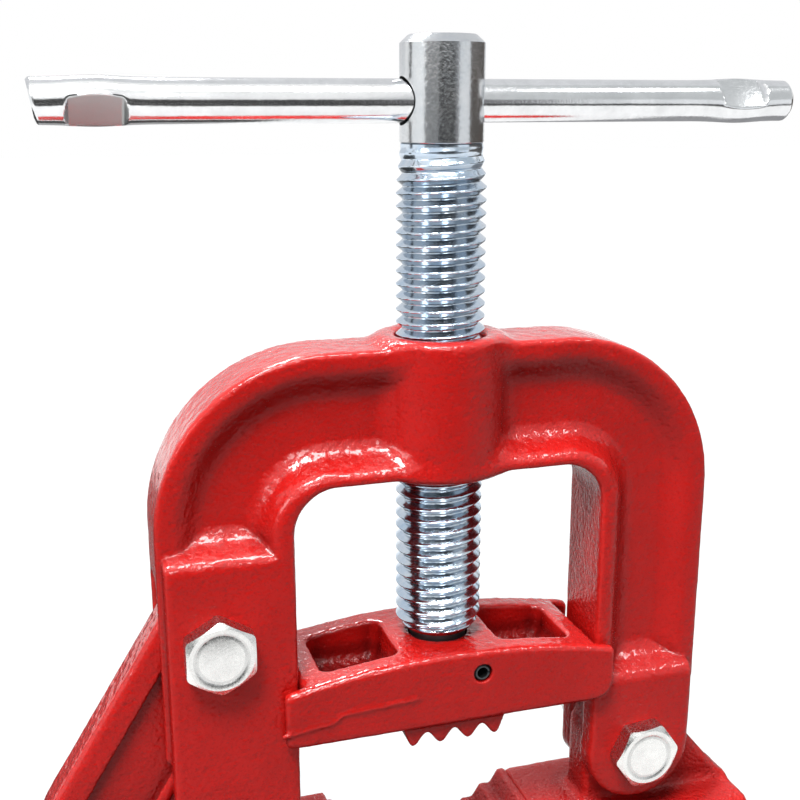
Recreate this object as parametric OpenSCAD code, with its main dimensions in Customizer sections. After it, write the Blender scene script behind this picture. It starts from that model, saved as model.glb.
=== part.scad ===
// Hinged pipe vise: a yoke that swings on a bench base, a screw that drives a toothed jaw,
// and a hooked latch that locks the yoke shut. X runs left to right, Y front to back, Z up.

/* [Foot plate] */
// Length of the foot plate, left to right
foot_l = 240; // [226:2:300]
// Width of the foot plate, front to back
foot_w = 116; // [100:2:150]
// Thickness of the foot plate
foot_t = 12; // [8:1:18]
// Corner radius of the foot plate
foot_r = 18; // [6:1:26]
// Spacing of the bench bolt holes, left to right
bench_x = 200; // [180:2:206]
// Spacing of the bench bolt holes, front to back
bench_y = 80; // [70:2:86]
// Diameter of a bench bolt hole
bench_d = 11; // [7:0.5:13]

/* [Base body] */
// Depth of the base body, front to back
body_d = 40; // [34:1:56]
// Height of the bed under the lower jaw
bed_h = 44; // [38:1:46]
// Thickness of a gusset rib
rib_t = 10; // [6:1:16]

/* [Hinge] */
// Distance of the hinge axis from the screw axis
hinge_x = 60.3; // [58:0.1:64]
// Height of the hinge axis above the bench
hinge_h = 97; // [92:1:110]
// Radius of the round eye at the end of the hinge leg
eye_r = 16.6; // [15:0.1:17.5]
// Radius of the hinge lug on the base
lug_r = 14; // [12:0.5:15]
// Distance from the hinge axis to the root of the fork
fork_root = 28.5; // [28:0.5:34]

/* [Yoke] */
// Half width of the window between the guide rails
window_half_w = 44; // [42:0.5:50]
// Width of a leg, left to right
leg_w = 35.5; // [33:0.5:40]
// Height of the crown above the hinge axis
crown_rise = 127; // [120:1:150]
// Thickness of the crown over the window
crown_t = 35; // [30:1:40]
// Radius of the outer shoulder of the arch
outer_r = 45.5; // [36:0.5:50]
// Radius of the window's top corners
inner_r = 12; // [9:1:16]
// Depth of the arch's outer rim, front to back
rim_d = 20; // [18:0.5:24]
// Thickness of the web inside the rim
web_t = 11; // [8:0.5:14]
// Width of the outer rim
outer_rim_w = 10; // [7:0.5:12]
// Width of the guide rails beside the window
rail_w = 5; // [4:0.5:8]
// Height of the lip that joins the rails over the window
brow_h = 3; // [2:0.5:6]
// Depth over the guide rails and fork plates, front to back
fork_d = 28; // [26:0.5:34]
// Thickness of the hinge lug and of the latch
tongue_t = 12.4; // [10:0.2:14]
// How far the hinge leg's back plate is set back from the window
back_inset = 3.5; // [2:0.5:4]
// Radius of the screw boss
boss_r = 17.5; // [16:0.5:20]
// Height of the screw boss above the crown
boss_proud = 2; // [1:0.5:10]

/* [Latch] */
// Distance of the latch pivot from the screw axis
latch_x = 65; // [63:0.5:67]
// Height of the latch pivot above the hinge axis
latch_rise = 51; // [46:1:58]
// Radius of the latch eye
latch_eye_r = 15.5; // [14:0.5:16]
// Lean of the latch arm from the vertical, in degrees
latch_lean = 32; // [30:0.5:34]
// Radius of the hooking face about the latch pivot
hook_r = 83.6; // [82:0.2:86]
// Thickness of the claw below the hooking face
claw_t = 18.4; // [14:0.2:22]
// How far the latch reaches left of its pivot
latch_reach = 49.5; // [46:0.5:52]

/* [Screw and handle] */
// Thread diameter over the crests
screw_d = 24; // [22:0.5:24]
// Depth of the thread
thread_h = 1.9; // [1.4:0.1:2]
// Advance of the screw in one turn
thread_pitch = 3.4; // [3:0.1:4]
// Length of the thread
thread_l = 133; // [125:1:150]
// Diameter of the plain head
head_d = 22; // [20:0.5:24]
// Length of the plain head
head_l = 27; // [24:0.5:34]
// Distance of the handle's axis below the top of the head
handle_drop = 16.3; // [13:0.1:18]
// Diameter of the handle bar
handle_d = 11; // [9:0.5:12]
// Length of the handle bar
handle_l = 204; // [160:2:240]
// Diameter of the screw's spigot inside the upper jaw
spigot_d = 16; // [14:0.5:17]

/* [Jaws] */
// Half width of the V in the lower jaw
v_half_w = 30; // [26:1:34]
// Depth of the V in the lower jaw
v_depth = 20; // [16:1:22]
// Gap between the lower jaw's shoulders and the upper jaw, as drawn
jaw_open = 41.3; // [36:0.1:50]
// Depth of the upper jaw, front to back
jaw_d = 36; // [34:1:44]
// Height of the upper jaw at its ends
jaw_end_h = 16; // [14:0.5:20]
// Extra height of the upper jaw at its crown
jaw_crown_h = 5.3; // [3:0.1:8]
// Overlap of the guide lips on the legs
lip_lap = 4.5; // [3:0.5:6]
// Spacing of the upper jaw's teeth
tooth_pitch = 8.2; // [7:0.1:9]
// Depth of the upper jaw's toothed pad
tooth_pad_h = 6.3; // [5:0.1:8]
// Diameter of the pin that keeps the screw in the upper jaw
pin_d = 5; // [4:0.5:6]

/* [Fasteners] */
// Diameter of the pivot bolts
bolt_d = 12; // [10:0.5:12]
// Size across the flats of the bolt heads and nuts
hex_af = 18; // [17:0.5:21]
// Height of a bolt head
hex_h = 5.5; // [4:0.5:8]
// Height of a locking nut
nut_h = 9; // [7:0.5:11]
// Diameter of the lower jaw's bolts
jaw_bolt_d = 8; // [6:0.5:10]

/* [Clearances] */
// Side clearance of the hinge lug and of the latch
side_gap = 0.3; // [0.2:0.05:0.5]
// Radial clearance of a running fit
run_gap = 0.05; // [0.02:0.01:0.1]
// Radial clearance of a bolt in a plain hole
hole_gap = 0.2; // [0.1:0.05:0.4]
// Clearance between the upper jaw and the legs
slide_gap = 0.5; // [0.3:0.05:0.8]
// Radial clearance between the screw's thread and the yoke's
thread_gap = 0.4; // [0.35:0.05:0.6]
// Gap under the yoke's free leg
rest_gap = 0.3; // [0.2:0.05:0.6]

/* [Hidden] */
$fn = 48;

paint = [0.76, 0.12, 0.12];
zinc = [0.78, 0.80, 0.82];
black = [0.08, 0.08, 0.08];
nylon = [0.20, 0.32, 0.62];
eps = 0.01;
past = 1;

// Levels above the bench
foot_drop = 0.4;
wing_drop = 4;
boss_drop = 1.5;
latch_z = hinge_h + latch_rise;
leg_foot_z = hinge_h - eye_r - foot_drop;
shoulder_z = leg_foot_z - rest_gap;
wing_z = hinge_h - eye_r - wing_drop;
v_apex_z = wing_z - v_depth;
crown_z = hinge_h + crown_rise;
window_z = crown_z - crown_t;
boss_top_z = crown_z + boss_proud;
boss_low_z = window_z - boss_drop;
jaw_low_z = wing_z + jaw_open;
jaw_end_z = jaw_low_z + jaw_end_h;
jaw_top_z = jaw_end_z + jaw_crown_h;

// Distances from the screw axis
yoke_half_w = window_half_w + leg_w;
fork_y = fork_d / 2;
gap_y = tongue_t / 2 + side_gap;
tongue_y = tongue_t / 2;
wall_out = 10.5;
nose_l = 10.5;
left_wall_x = latch_x + wall_out;
nose_x = left_wall_x + nose_l;

// Right wing of the base, and the slope that ends it
wing_l = 35.7;
wing_slope = [8, 16];
wing_heel = 3.3;
wing_x = hinge_x + wing_l;

// Steps where the arch's web turns into a fork plate
left_step_rise = 25.5;
right_step_rise = 25;
step_ramp = 5;
slot_clear = 1.5;
left_step_z = latch_z + left_step_rise;
right_step_z = hinge_h + right_step_rise;
left_fork_top = latch_z + latch_eye_r + slot_clear;
right_fork_top = hinge_h + fork_root;

// Screw
neck_h = 3.6;
skirt_h = 1;
socket_floor_t = 4.5;
pin_bite = 0.6;
pin_gap = 0.02;
pin_drop = 6.9;
groove_gap = 0.2;
thread_low_z = jaw_top_z + neck_h;
thread_start_z = thread_low_z + skirt_h;
head_low_z = thread_low_z + thread_l;
head_top_z = head_low_z + head_l;
handle_z = head_top_z - handle_drop;
socket_floor_z = jaw_low_z + socket_floor_t;
pin_x = spigot_d / 2 - pin_bite;
pin_z = jaw_top_z - pin_drop;
groove_r = pin_x - pin_d / 2 - groove_gap;
groove_h = pin_d + 4 * groove_gap;

// Washers and nuts
washer_t = 2;
washer_r = hex_af * 0.62;
ring_h = 2.5;
ring_sink = 0.5;
nut_lip_r = hex_af * 0.47;
nut_cup_r = hex_af * 0.42;
hex_face_r = hex_af * 0.475;
hinge_bolt_turn = 5;
latch_bolt_turn = 30;
nut_turn = 12;
jaw_bolt_x = 18;
jaw_washer_t = 1.6;
jaw_bolt_seat_z = 22;
jaw_bolt_tip_z = v_apex_z - 2;
jaw_bolt_hex = jaw_bolt_d * 1.625;
jaw_bolt_head_h = jaw_bolt_d * 0.66;
jaw_washer_r = jaw_bolt_hex * 0.68;
jaw_bolt_well_r = jaw_bolt_hex * 0.75;

// Mirrors a shape to both sides of a plane through the origin.
module both(normal) {
    children();
    mirror(normal) children();
}

// Stands an XZ outline upright and makes it d deep, centred on the middle plane.
module upright(d) {
    rotate([90, 0, 0]) linear_extrude(d, center = true) children();
}

// Cylinder along Y from y0 to y1 at the point x, z.
module along_y(x, z, y0, y1, r) {
    translate([x, y0, z]) rotate([-90, 0, 0]) cylinder(r = r, h = y1 - y0);
}

// Hexagonal prism along Y from y0 to y1 at the point x, z, turned about its axis.
module hex_y(x, z, y0, y1, af, turn) {
    translate([x, y0, z]) rotate([-90, 0, 0]) rotate(turn)
        cylinder(r = af / 2 / cos(30), h = y1 - y0, $fn = 6);
}

module box(x0, x1, y0, y1, z0, z1) {
    translate([x0, y0, z0]) cube([x1 - x0, y1 - y0, z1 - z0]);
}

// Box that is the same in front of and behind the middle plane.
module slab(x0, x1, d, z0, z1) {
    box(x0, x1, -d / 2, d / 2, z0, z1);
}

module rounded_rect(l, w, r) {
    square([l - 2 * r, w], center = true);
    square([l, w - 2 * r], center = true);
    for (x = [-1, 1], y = [-1, 1])
        translate([x * (l / 2 - r), y * (w / 2 - r)]) circle(r);
}

// Upright outline with a flat top, two round top corners and straight sides.
module arch_2d(half_w, top, r, bottom) {
    translate([-half_w, bottom]) square([2 * half_w, top - r - bottom]);
    translate([r - half_w, bottom]) square([2 * (half_w - r), top - bottom]);
    for (x = [-1, 1]) translate([x * (half_w - r), top - r]) circle(r);
}

// Threaded rod as one solid: four points of the thread's profile in each pitch, swept round.
thread_seg = 20;
profile_at = [0, 0.3, 0.58, 0.72];
profile_up = [0, 0, 1, 1];
per_turn = len(profile_at);

function thread_point(r, depth, z, i, k, last) =
    let (a = 360 * i / thread_seg,
         ridge = k > per_turn && k < last - per_turn ? profile_up[k % per_turn] : 0,
         rad = r + depth * ridge,
         turn = floor(k / per_turn) + profile_at[k % per_turn] + i / thread_seg)
    [rad * cos(a), rad * sin(a), z + thread_pitch * turn];

module threaded_rod(r, depth, z_start, z_low, z_high) {
    turns = floor((z_high - z_start) / thread_pitch) - 1;
    last = per_turn * turns;
    col = last + 1;
    end = thread_seg - 1;
    low = thread_seg * col;
    high = low + thread_seg;
    ring = [for (i = [0:end]) r * [cos(360 * i / thread_seg), sin(360 * i / thread_seg)]];
    points = concat(
        [for (i = [0:end], k = [0:last]) thread_point(r, depth, z_start, i, k, last)],
        [for (p = ring) [p.x, p.y, z_low]],
        [for (p = ring) [p.x, p.y, z_high]]);
    sides = [for (i = [0:end - 1], k = [0:last - 1])
        [i * col + k, i * col + k + 1, (i + 1) * col + k + 1, (i + 1) * col + k]];
    seam = [for (k = [0:last - per_turn - 1])
        [end * col + k, end * col + k + 1, k + 1 + per_turn, k + per_turn]];
    skirt = [for (i = [0:end - 1]) [low + i, i * col, (i + 1) * col, low + i + 1]];
    collar = [for (i = [0:end - 1])
        [i * col + last, high + i, high + i + 1, (i + 1) * col + last]];
    skirt_seam = concat([low + end, end * col], [for (k = [per_turn:-1:0]) k], [low]);
    collar_seam = concat([for (k = [last - per_turn:last]) end * col + k],
        [high + end, high, last]);
    caps = [[for (i = [0:end]) low + i], [for (i = [end:-1:0]) high + i]];
    polyhedron(points, concat(sides, seam, skirt, collar, [skirt_seam, collar_seam], caps));
}

// Base casting
module base_profile() {
    // Left tower, bed and right wing
    slope_x = wing_x + wing_slope.x;
    polygon([[-left_wall_x, 0], [-left_wall_x, shoulder_z], [-v_half_w, shoulder_z],
        [-v_half_w, bed_h], [v_half_w, bed_h], [v_half_w, wing_z], [wing_x, wing_z],
        [slope_x, wing_z - wing_slope.y], [slope_x + wing_heel, 0]]);
}

module hinge_lug_2d() {
    fall = wing_z - hinge_h;
    slope = atan2(fall, wing_l) + acos(lug_r / norm([wing_l, fall]));
    translate([hinge_x, hinge_h]) circle(lug_r);
    polygon([[hinge_x - lug_r, hinge_h], [hinge_x - lug_r, wing_z - past],
        [wing_x, wing_z - past], [wing_x, wing_z],
        [hinge_x + lug_r * cos(slope), hinge_h + lug_r * sin(slope)], [hinge_x, hinge_h]]);
}

// Catch that the latch hooks under: its lower face is round about the latch pivot.
module latch_nose_2d() {
    nose_h = 30;
    hook_gap = 0.6;
    intersection() {
        translate([-nose_x, shoulder_z - nose_h]) square([nose_l + past, nose_h]);
        translate([-latch_x, latch_z]) circle(hook_r - hook_gap, $fn = 96);
    }
}

// Rib from the body down to the foot plate
module gusset(x) {
    inset = 8;
    toe_h = 2;
    drop = 14;
    reach = foot_w / 2 - inset;
    translate([x - rib_t / 2, 0, 0]) rotate([90, 0, 90]) linear_extrude(rib_t)
        polygon([[0, 0], [reach, 0], [reach, foot_t + toe_h], [body_d / 2, wing_z - drop],
            [0, wing_z - drop]]);
}

module base() {
    rib_x = left_wall_x - rib_t;
    nose_d = tongue_t + 6;
    color(paint) difference() {
        union() {
            linear_extrude(foot_t) rounded_rect(foot_l, foot_w, foot_r);
            upright(body_d) base_profile();
            upright(tongue_t) hinge_lug_2d();
            upright(nose_d) latch_nose_2d();
            both([0, 1, 0]) for (x = [-rib_x, rib_x]) gusset(x);
        }
        for (x = [-1, 1], y = [-1, 1])
            translate([x * bench_x / 2, y * bench_y / 2, -past])
                cylinder(d = bench_d, h = foot_t + 2 * past);
        along_y(hinge_x, hinge_h, -tongue_t, tongue_t, bolt_d / 2 + run_gap);
        // Lower jaw bolts from below
        for (x = [-jaw_bolt_x, jaw_bolt_x]) {
            translate([x, 0, -past])
                cylinder(r = jaw_bolt_well_r, h = jaw_bolt_seat_z + past);
            translate([x, 0, 0]) cylinder(r = jaw_bolt_d / 2 + hole_gap, h = bed_h + past);
        }
    }
}

// Sawtooth flank of the V, from its apex out to the shoulder
v_teeth = 4;
v_tooth_h = 2.4;
function v_flank() =
    let (run = v_half_w / (v_teeth + 1), rise = v_depth / (v_teeth + 1))
    [for (i = [1:v_teeth]) each [
        [run * (i + 0.15), v_apex_z + rise * (i + 0.15) - v_tooth_h * 0.5],
        [run * (i + 0.6), v_apex_z + rise * (i + 0.6) + v_tooth_h * 0.5]]];

function flip_x(points) = [for (i = [len(points) - 1:-1:0]) [-points[i].x, points[i].y]];

module lower_jaw() {
    fit = 0.1;
    half = v_half_w - fit;
    flank = v_flank();
    color(paint) difference() {
        upright(body_d) polygon(concat([[-half, bed_h], [-half, wing_z]], flip_x(flank),
            [[0, v_apex_z]], flank, [[half, wing_z], [half, bed_h]]));
        for (x = [-jaw_bolt_x, jaw_bolt_x])
            translate([x, 0, bed_h - past])
                cylinder(r = jaw_bolt_d / 2 + run_gap, h = jaw_bolt_tip_z + past - bed_h);
    }
}

module lower_jaw_bolts() {
    end_gap = 1;
    head_z = jaw_bolt_seat_z - jaw_washer_t;
    color(zinc) for (x = [-jaw_bolt_x, jaw_bolt_x]) translate([x, 0, 0]) {
        translate([0, 0, head_z - jaw_bolt_head_h])
            cylinder(r = jaw_bolt_hex / 2 / cos(30), h = jaw_bolt_head_h, $fn = 6);
        translate([0, 0, head_z - eps])
            cylinder(d = jaw_bolt_d, h = jaw_bolt_tip_z - end_gap - head_z);
    }
}

module lower_jaw_washers() {
    color(zinc) for (x = [-jaw_bolt_x, jaw_bolt_x])
        translate([x, 0, jaw_bolt_seat_z - jaw_washer_t]) difference() {
            cylinder(r = jaw_washer_r, h = jaw_washer_t);
            translate([0, 0, -past])
                cylinder(r = jaw_bolt_d / 2 + hole_gap, h = jaw_washer_t + 2 * past);
        }
}

// Yoke casting
module yoke_arch_2d(bottom) {
    difference() {
        arch_2d(yoke_half_w, crown_z, outer_r, bottom);
        arch_2d(window_half_w, window_z, inner_r, bottom - past);
    }
}

// Sunk panel inside the rim, on one face of the arch
module yoke_panel() {
    panel_h = (rim_d - web_t) / 2;
    translate([0, -rim_d / 2 + panel_h / 2, 0]) upright(panel_h + eps)
        arch_2d(yoke_half_w - outer_rim_w, crown_z - outer_rim_w, outer_r - outer_rim_w,
            right_step_z);
}

// Guide rails for the upper jaw, joined by a lip over the window
module guide_rails(bottom) {
    upright(fork_d) difference() {
        arch_2d(window_half_w + rail_w, window_z + brow_h, inner_r + brow_h, bottom);
        arch_2d(window_half_w, window_z, inner_r, bottom - past);
    }
}

// Wedge that leads from the sunk web out to the face of a fork plate
module step_wedge(x0, x1, z) {
    translate([x0, 0, 0]) rotate([90, 0, 90]) linear_extrude(x1 - x0)
        polygon([[-fork_y, z - past], [-fork_y, z], [-web_t / 2, z + step_ramp],
            [0, z + step_ramp], [0, z - past]]);
}

module fork_plates() {
    plate_inset = 1.5;
    left_x = yoke_half_w - plate_inset;
    right_x = hinge_x + eye_r;
    // Left plates, which rest on the base
    slab(-left_x, -window_half_w, fork_d, leg_foot_z, left_step_z);
    // Right plates, which end in the hinge eye
    along_y(hinge_x, hinge_h, -fork_y, fork_y, eye_r);
    slab(window_half_w, right_x, fork_d, hinge_h, right_step_z);
    both([0, 1, 0]) {
        step_wedge(-left_x, -window_half_w, left_step_z);
        step_wedge(window_half_w, right_x, right_step_z);
    }
}

// Space behind the hinge leg, where its back half is set back from the window
module back_space() {
    translate([0, (gap_y + fork_d) / 2, 0]) upright(fork_d - gap_y) intersection() {
        arch_2d(window_half_w + back_inset, window_z, inner_r, leg_foot_z - past);
        translate([window_half_w - inner_r, 0]) square([inner_r + back_inset, window_z]);
    }
}

module yoke() {
    overlap = 8;
    color(paint) difference() {
        union() {
            difference() {
                upright(rim_d) yoke_arch_2d(right_step_z - overlap);
                both([0, 1, 0]) yoke_panel();
            }
            guide_rails(right_step_z - overlap);
            fork_plates();
            translate([0, 0, boss_low_z]) cylinder(r = boss_r, h = boss_top_z - boss_low_z);
        }
        back_space();
        // Slots for the latch and for the hinge lug
        slab(-yoke_half_w - past, overlap - window_half_w, 2 * gap_y, 0, left_fork_top);
        slab(window_half_w - past, yoke_half_w + past, 2 * gap_y, 0, right_fork_top);
        along_y(-latch_x, latch_z, -fork_d, fork_d, bolt_d / 2 + hole_gap);
        along_y(hinge_x, hinge_h, -fork_d, fork_d, bolt_d / 2 + hole_gap);
        nut_thread();
    }
}

// Space for the screw in the boss, in step with the screw's own thread
module nut_thread() {
    lead_in = floor((boss_low_z - thread_low_z) / thread_pitch) - 3;
    start = thread_start_z + lead_in * thread_pitch;
    threaded_rod(screw_d / 2 - thread_h + thread_gap, thread_h, start, start - past,
        boss_top_z + 3 * thread_pitch);
}

// Pivot hardware
module pivot_bolt(x, z, turn) {
    stick_out = 1.5;
    tip = fork_y + washer_t + nut_h + ring_h + stick_out;
    chamfer = 1;
    color(zinc) {
        intersection() {
            hex_y(x, z, -fork_y - hex_h, -fork_y, hex_af, turn);
            translate([x, -fork_y, z]) rotate([90, 0, 0])
                cylinder(r1 = hex_face_r + hex_h / tan(30), r2 = hex_face_r, h = hex_h);
        }
        along_y(x, z, -fork_y - eps, tip - chamfer, bolt_d / 2);
        translate([x, tip - chamfer - eps, z]) rotate([-90, 0, 0])
            cylinder(r1 = bolt_d / 2, r2 = bolt_d / 2 - chamfer, h = chamfer);
    }
}

module pivot_washer(x, z) {
    color(zinc) difference() {
        along_y(x, z, fork_y, fork_y + washer_t, washer_r);
        along_y(x, z, fork_y - past, fork_y + washer_t + past, bolt_d / 2 + hole_gap);
    }
}

module pivot_nut(x, z) {
    low = fork_y + washer_t;
    color(zinc) difference() {
        union() {
            hex_y(x, z, low, low + nut_h, hex_af, nut_turn);
            along_y(x, z, low + nut_h - eps, low + nut_h + ring_h, nut_lip_r);
        }
        along_y(x, z, low - past, low + nut_h + ring_h + past, bolt_d / 2 + run_gap);
        along_y(x, z, low + nut_h, low + nut_h + ring_h + past, nut_cup_r);
    }
}

module pivot_nut_ring(x, z) {
    low = fork_y + washer_t + nut_h;
    color(nylon) difference() {
        along_y(x, z, low, low + ring_h - ring_sink, nut_cup_r - run_gap);
        along_y(x, z, low - past, low + ring_h + past, bolt_d / 2 + run_gap);
    }
}

module hinge_bolt() { pivot_bolt(hinge_x, hinge_h, hinge_bolt_turn); }
module hinge_washer() { pivot_washer(hinge_x, hinge_h); }
module hinge_nut() { pivot_nut(hinge_x, hinge_h); }
module hinge_nut_ring() { pivot_nut_ring(hinge_x, hinge_h); }
module latch_bolt() { pivot_bolt(-latch_x, latch_z, latch_bolt_turn); }
module latch_washer() { pivot_washer(-latch_x, latch_z); }
module latch_nut() { pivot_nut(-latch_x, latch_z); }
module latch_nut_ring() { pivot_nut_ring(-latch_x, latch_z); }

// Latch: an eye, a leaning arm and a claw whose hooking face is round about the pivot.
// The outline is drawn about the pivot, with the arm's own frame turned by the lean.
arm_in = 13.5;
throat_in = 7;
throat_r = 62;
claw_tip_a = 15;
claw_root_a = 15;
latch_rim_out = 11.5;
latch_rim_in = 5;
latch_sink = 2.4;

module wedge_2d(a0, a1, r) {
    polygon([[0, 0], [-r * sin(a0), -r * cos(a0)], [-r * sin(a1), -r * cos(a1)]]);
}

module latch_2d() {
    claw_r = hook_r + claw_t;
    far = 2 * claw_r;
    circle(latch_eye_r);
    intersection() {
        translate([-latch_reach, -far]) square([far, far]);
        circle(claw_r, $fn = 96);
        union() {
            difference() {
                rotate(-latch_lean) translate([-latch_eye_r, -far])
                    square([latch_eye_r + arm_in, far]);
                rotate(-latch_lean) difference() {
                    translate([throat_in, -far]) square([far, far]);
                    circle(throat_r);
                }
            }
            difference() {
                wedge_2d(claw_tip_a, latch_lean + claw_root_a, far);
                circle(hook_r, $fn = 96);
            }
        }
    }
}

// Strip of the sunk panel, from the outer rim to the inner rim along an edge of the arm
module panel_strip(edge, to) {
    from = latch_eye_r + 3;
    low_x = latch_rim_out - latch_eye_r;
    translate([low_x, -to]) square([edge - latch_rim_in - low_x, to - from]);
}

// Sunk panel along the arm
module latch_panel_2d() {
    intersection() {
        rotate(-latch_lean) {
            panel_strip(arm_in, throat_r - latch_rim_in);
            panel_strip(throat_in, hook_r - latch_rim_in);
        }
        translate([-latch_reach + latch_rim_out, -hook_r]) square([hook_r, hook_r]);
    }
}

module latch() {
    color(paint) translate([-latch_x, 0, latch_z]) difference() {
        upright(tongue_t) latch_2d();
        along_y(0, 0, -tongue_t, tongue_t, bolt_d / 2 + run_gap);
        both([0, 1, 0]) translate([0, tongue_y - latch_sink / 2 + eps, 0])
            upright(latch_sink + 2 * eps) latch_panel_2d();
    }
}

// Upper jaw: a bar that bridges the legs, with lips that lap their front and back faces
module jaw_top_2d() {
    half = window_half_w + lip_lap;
    rise_r = (half * half + jaw_crown_h * jaw_crown_h) / (2 * jaw_crown_h);
    translate([-half, jaw_low_z]) square([2 * half, jaw_end_h]);
    intersection() {
        translate([-half, jaw_end_z - eps]) square([2 * half, jaw_crown_h + past]);
        translate([0, jaw_top_z - rise_r]) circle(rise_r, $fn = 128);
    }
}

teeth = 4;
module tooth_pad_2d() {
    pad_half = teeth * tooth_pitch / 2;
    root = tooth_pad_h * 0.46;
    tips = [for (i = [0:teeth - 1]) each [
        [-pad_half + tooth_pitch * (i + 0.36), -tooth_pad_h],
        [-pad_half + tooth_pitch * (i + 0.64), -tooth_pad_h],
        if (i < teeth - 1) [-pad_half + tooth_pitch * (i + 1), -root]]];
    translate([0, jaw_low_z])
        polygon(concat([[-pad_half, past]], [[-pad_half - 0.5, 0]], tips,
            [[pad_half + 0.5, 0]], [[pad_half, past]]));
}

module upper_jaw() {
    far = window_half_w + lip_lap + past;
    lip_y = fork_y + slide_gap;
    pocket_wall = 8;
    pocket_sink = 7;
    pad_inset = 2;
    pocket_x = [spigot_d / 2 + pocket_wall, window_half_w - pocket_wall];
    pocket_y = jaw_d / 2 - pocket_wall;
    color(paint) difference() {
        union() {
            upright(jaw_d) jaw_top_2d();
            upright(jaw_d - 2 * pad_inset) tooth_pad_2d();
        }
        both([1, 0, 0]) {
            // Notch that takes the leg
            slab(window_half_w - slide_gap, far, 2 * lip_y, jaw_low_z - past, jaw_top_z + past);
            box(pocket_x[0], pocket_x[1], -pocket_y, pocket_y, jaw_end_z - pocket_sink,
                jaw_top_z + past);
        }
        translate([0, 0, socket_floor_z])
            cylinder(r = spigot_d / 2 + run_gap, h = jaw_top_z + past - socket_floor_z);
        along_y(pin_x, pin_z, -jaw_d, jaw_d, pin_d / 2 + pin_gap);
    }
}

// Rolled spring pin with its slot
module upper_jaw_pin() {
    sink = 0.6;
    half = jaw_d / 2 - sink;
    wall = 0.9;
    slot_y = 0.35;
    color(black) difference() {
        along_y(pin_x, pin_z, -half, half, pin_d / 2);
        along_y(pin_x, pin_z, -half - past, half + past, pin_d / 2 - wall);
        slab(pin_x, pin_x + pin_d, 3 * jaw_d, pin_z - slot_y, pin_z + slot_y);
    }
}

module clamp_screw() {
    core_r = screw_d / 2 - thread_h;
    spigot_r = spigot_d / 2;
    spigot_low = socket_floor_z + side_gap;
    chamfer = 1.2;
    under_chamfer = 0.6;
    tip_chamfer = 1;
    color(zinc) difference() {
        union() {
            // The thread runs on past the head's underside and is cut off there
            difference() {
                threaded_rod(core_r, thread_h, thread_start_z, thread_low_z,
                    head_low_z + 3 * thread_pitch);
                slab(-screw_d, screw_d, 2 * screw_d, head_low_z, head_top_z);
            }
            rotate_extrude() polygon([[0, head_low_z], [head_d / 2 - under_chamfer, head_low_z],
                [head_d / 2, head_low_z + under_chamfer], [head_d / 2, head_top_z - chamfer],
                [head_d / 2 - chamfer, head_top_z], [0, head_top_z]]);
            rotate_extrude() polygon([[0, spigot_low], [spigot_r - tip_chamfer, spigot_low],
                [spigot_r, spigot_low + tip_chamfer], [spigot_r, pin_z - groove_h / 2],
                [groove_r, pin_z - groove_h / 2], [groove_r, pin_z + groove_h / 2],
                [spigot_r, pin_z + groove_h / 2], [spigot_r, thread_low_z + past],
                [0, thread_low_z + past]]);
        }
        translate([0, 0, handle_z]) rotate([0, 90, 0])
            cylinder(r = handle_d / 2 + run_gap, h = 2 * head_d, center = true);
    }
}

// Handle bar with pressed ends that keep it in the head
module handle_bar() {
    r = handle_d / 2;
    stop_x = handle_l / 2 - 16;
    bulge_r = r + 1.6;
    bulge_y = r * 0.7;
    scoop_r = 26;
    scoop_y = r * 0.62;
    color(zinc) translate([0, 0, handle_z]) difference() {
        union() {
            rotate([0, 90, 0]) cylinder(r = r, h = handle_l, center = true);
            both([1, 0, 0]) intersection() {
                translate([stop_x, 0, 0]) sphere(bulge_r);
                box(stop_x - handle_d, stop_x + handle_d, -bulge_y, bulge_y, -handle_d, handle_d);
            }
        }
        both([1, 0, 0]) both([0, 1, 0])
            translate([stop_x, -scoop_y - scoop_r, 0])
                cylinder(r = scoop_r, h = 3 * r, center = true);
    }
}

base();
lower_jaw();
lower_jaw_bolts();
lower_jaw_washers();
yoke();
hinge_bolt();
hinge_washer();
hinge_nut();
hinge_nut_ring();
latch();
latch_bolt();
latch_washer();
latch_nut();
latch_nut_ring();
upper_jaw();
upper_jaw_pin();
clamp_screw();
handle_bar();
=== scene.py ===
# Looks of a hinged pipe vise: red painted castings, a zinc plated screw and handle, and its bolts.
import math

import bpy
import numpy as np
import openvdb
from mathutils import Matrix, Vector, noise


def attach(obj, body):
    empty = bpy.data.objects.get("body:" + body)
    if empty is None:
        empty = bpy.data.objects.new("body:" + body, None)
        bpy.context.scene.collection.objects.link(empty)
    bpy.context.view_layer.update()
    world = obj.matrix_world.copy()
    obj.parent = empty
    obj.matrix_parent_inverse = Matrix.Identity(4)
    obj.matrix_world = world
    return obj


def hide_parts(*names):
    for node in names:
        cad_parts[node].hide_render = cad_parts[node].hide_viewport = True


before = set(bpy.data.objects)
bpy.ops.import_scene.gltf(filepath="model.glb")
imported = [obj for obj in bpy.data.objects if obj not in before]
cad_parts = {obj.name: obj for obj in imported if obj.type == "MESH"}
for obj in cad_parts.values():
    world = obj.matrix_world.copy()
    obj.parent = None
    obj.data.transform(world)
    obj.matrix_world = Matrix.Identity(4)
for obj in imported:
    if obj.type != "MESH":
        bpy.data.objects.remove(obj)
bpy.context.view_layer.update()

MM = 0.001
FAR = 1e9
OUTSIDE = 10.0

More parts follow.
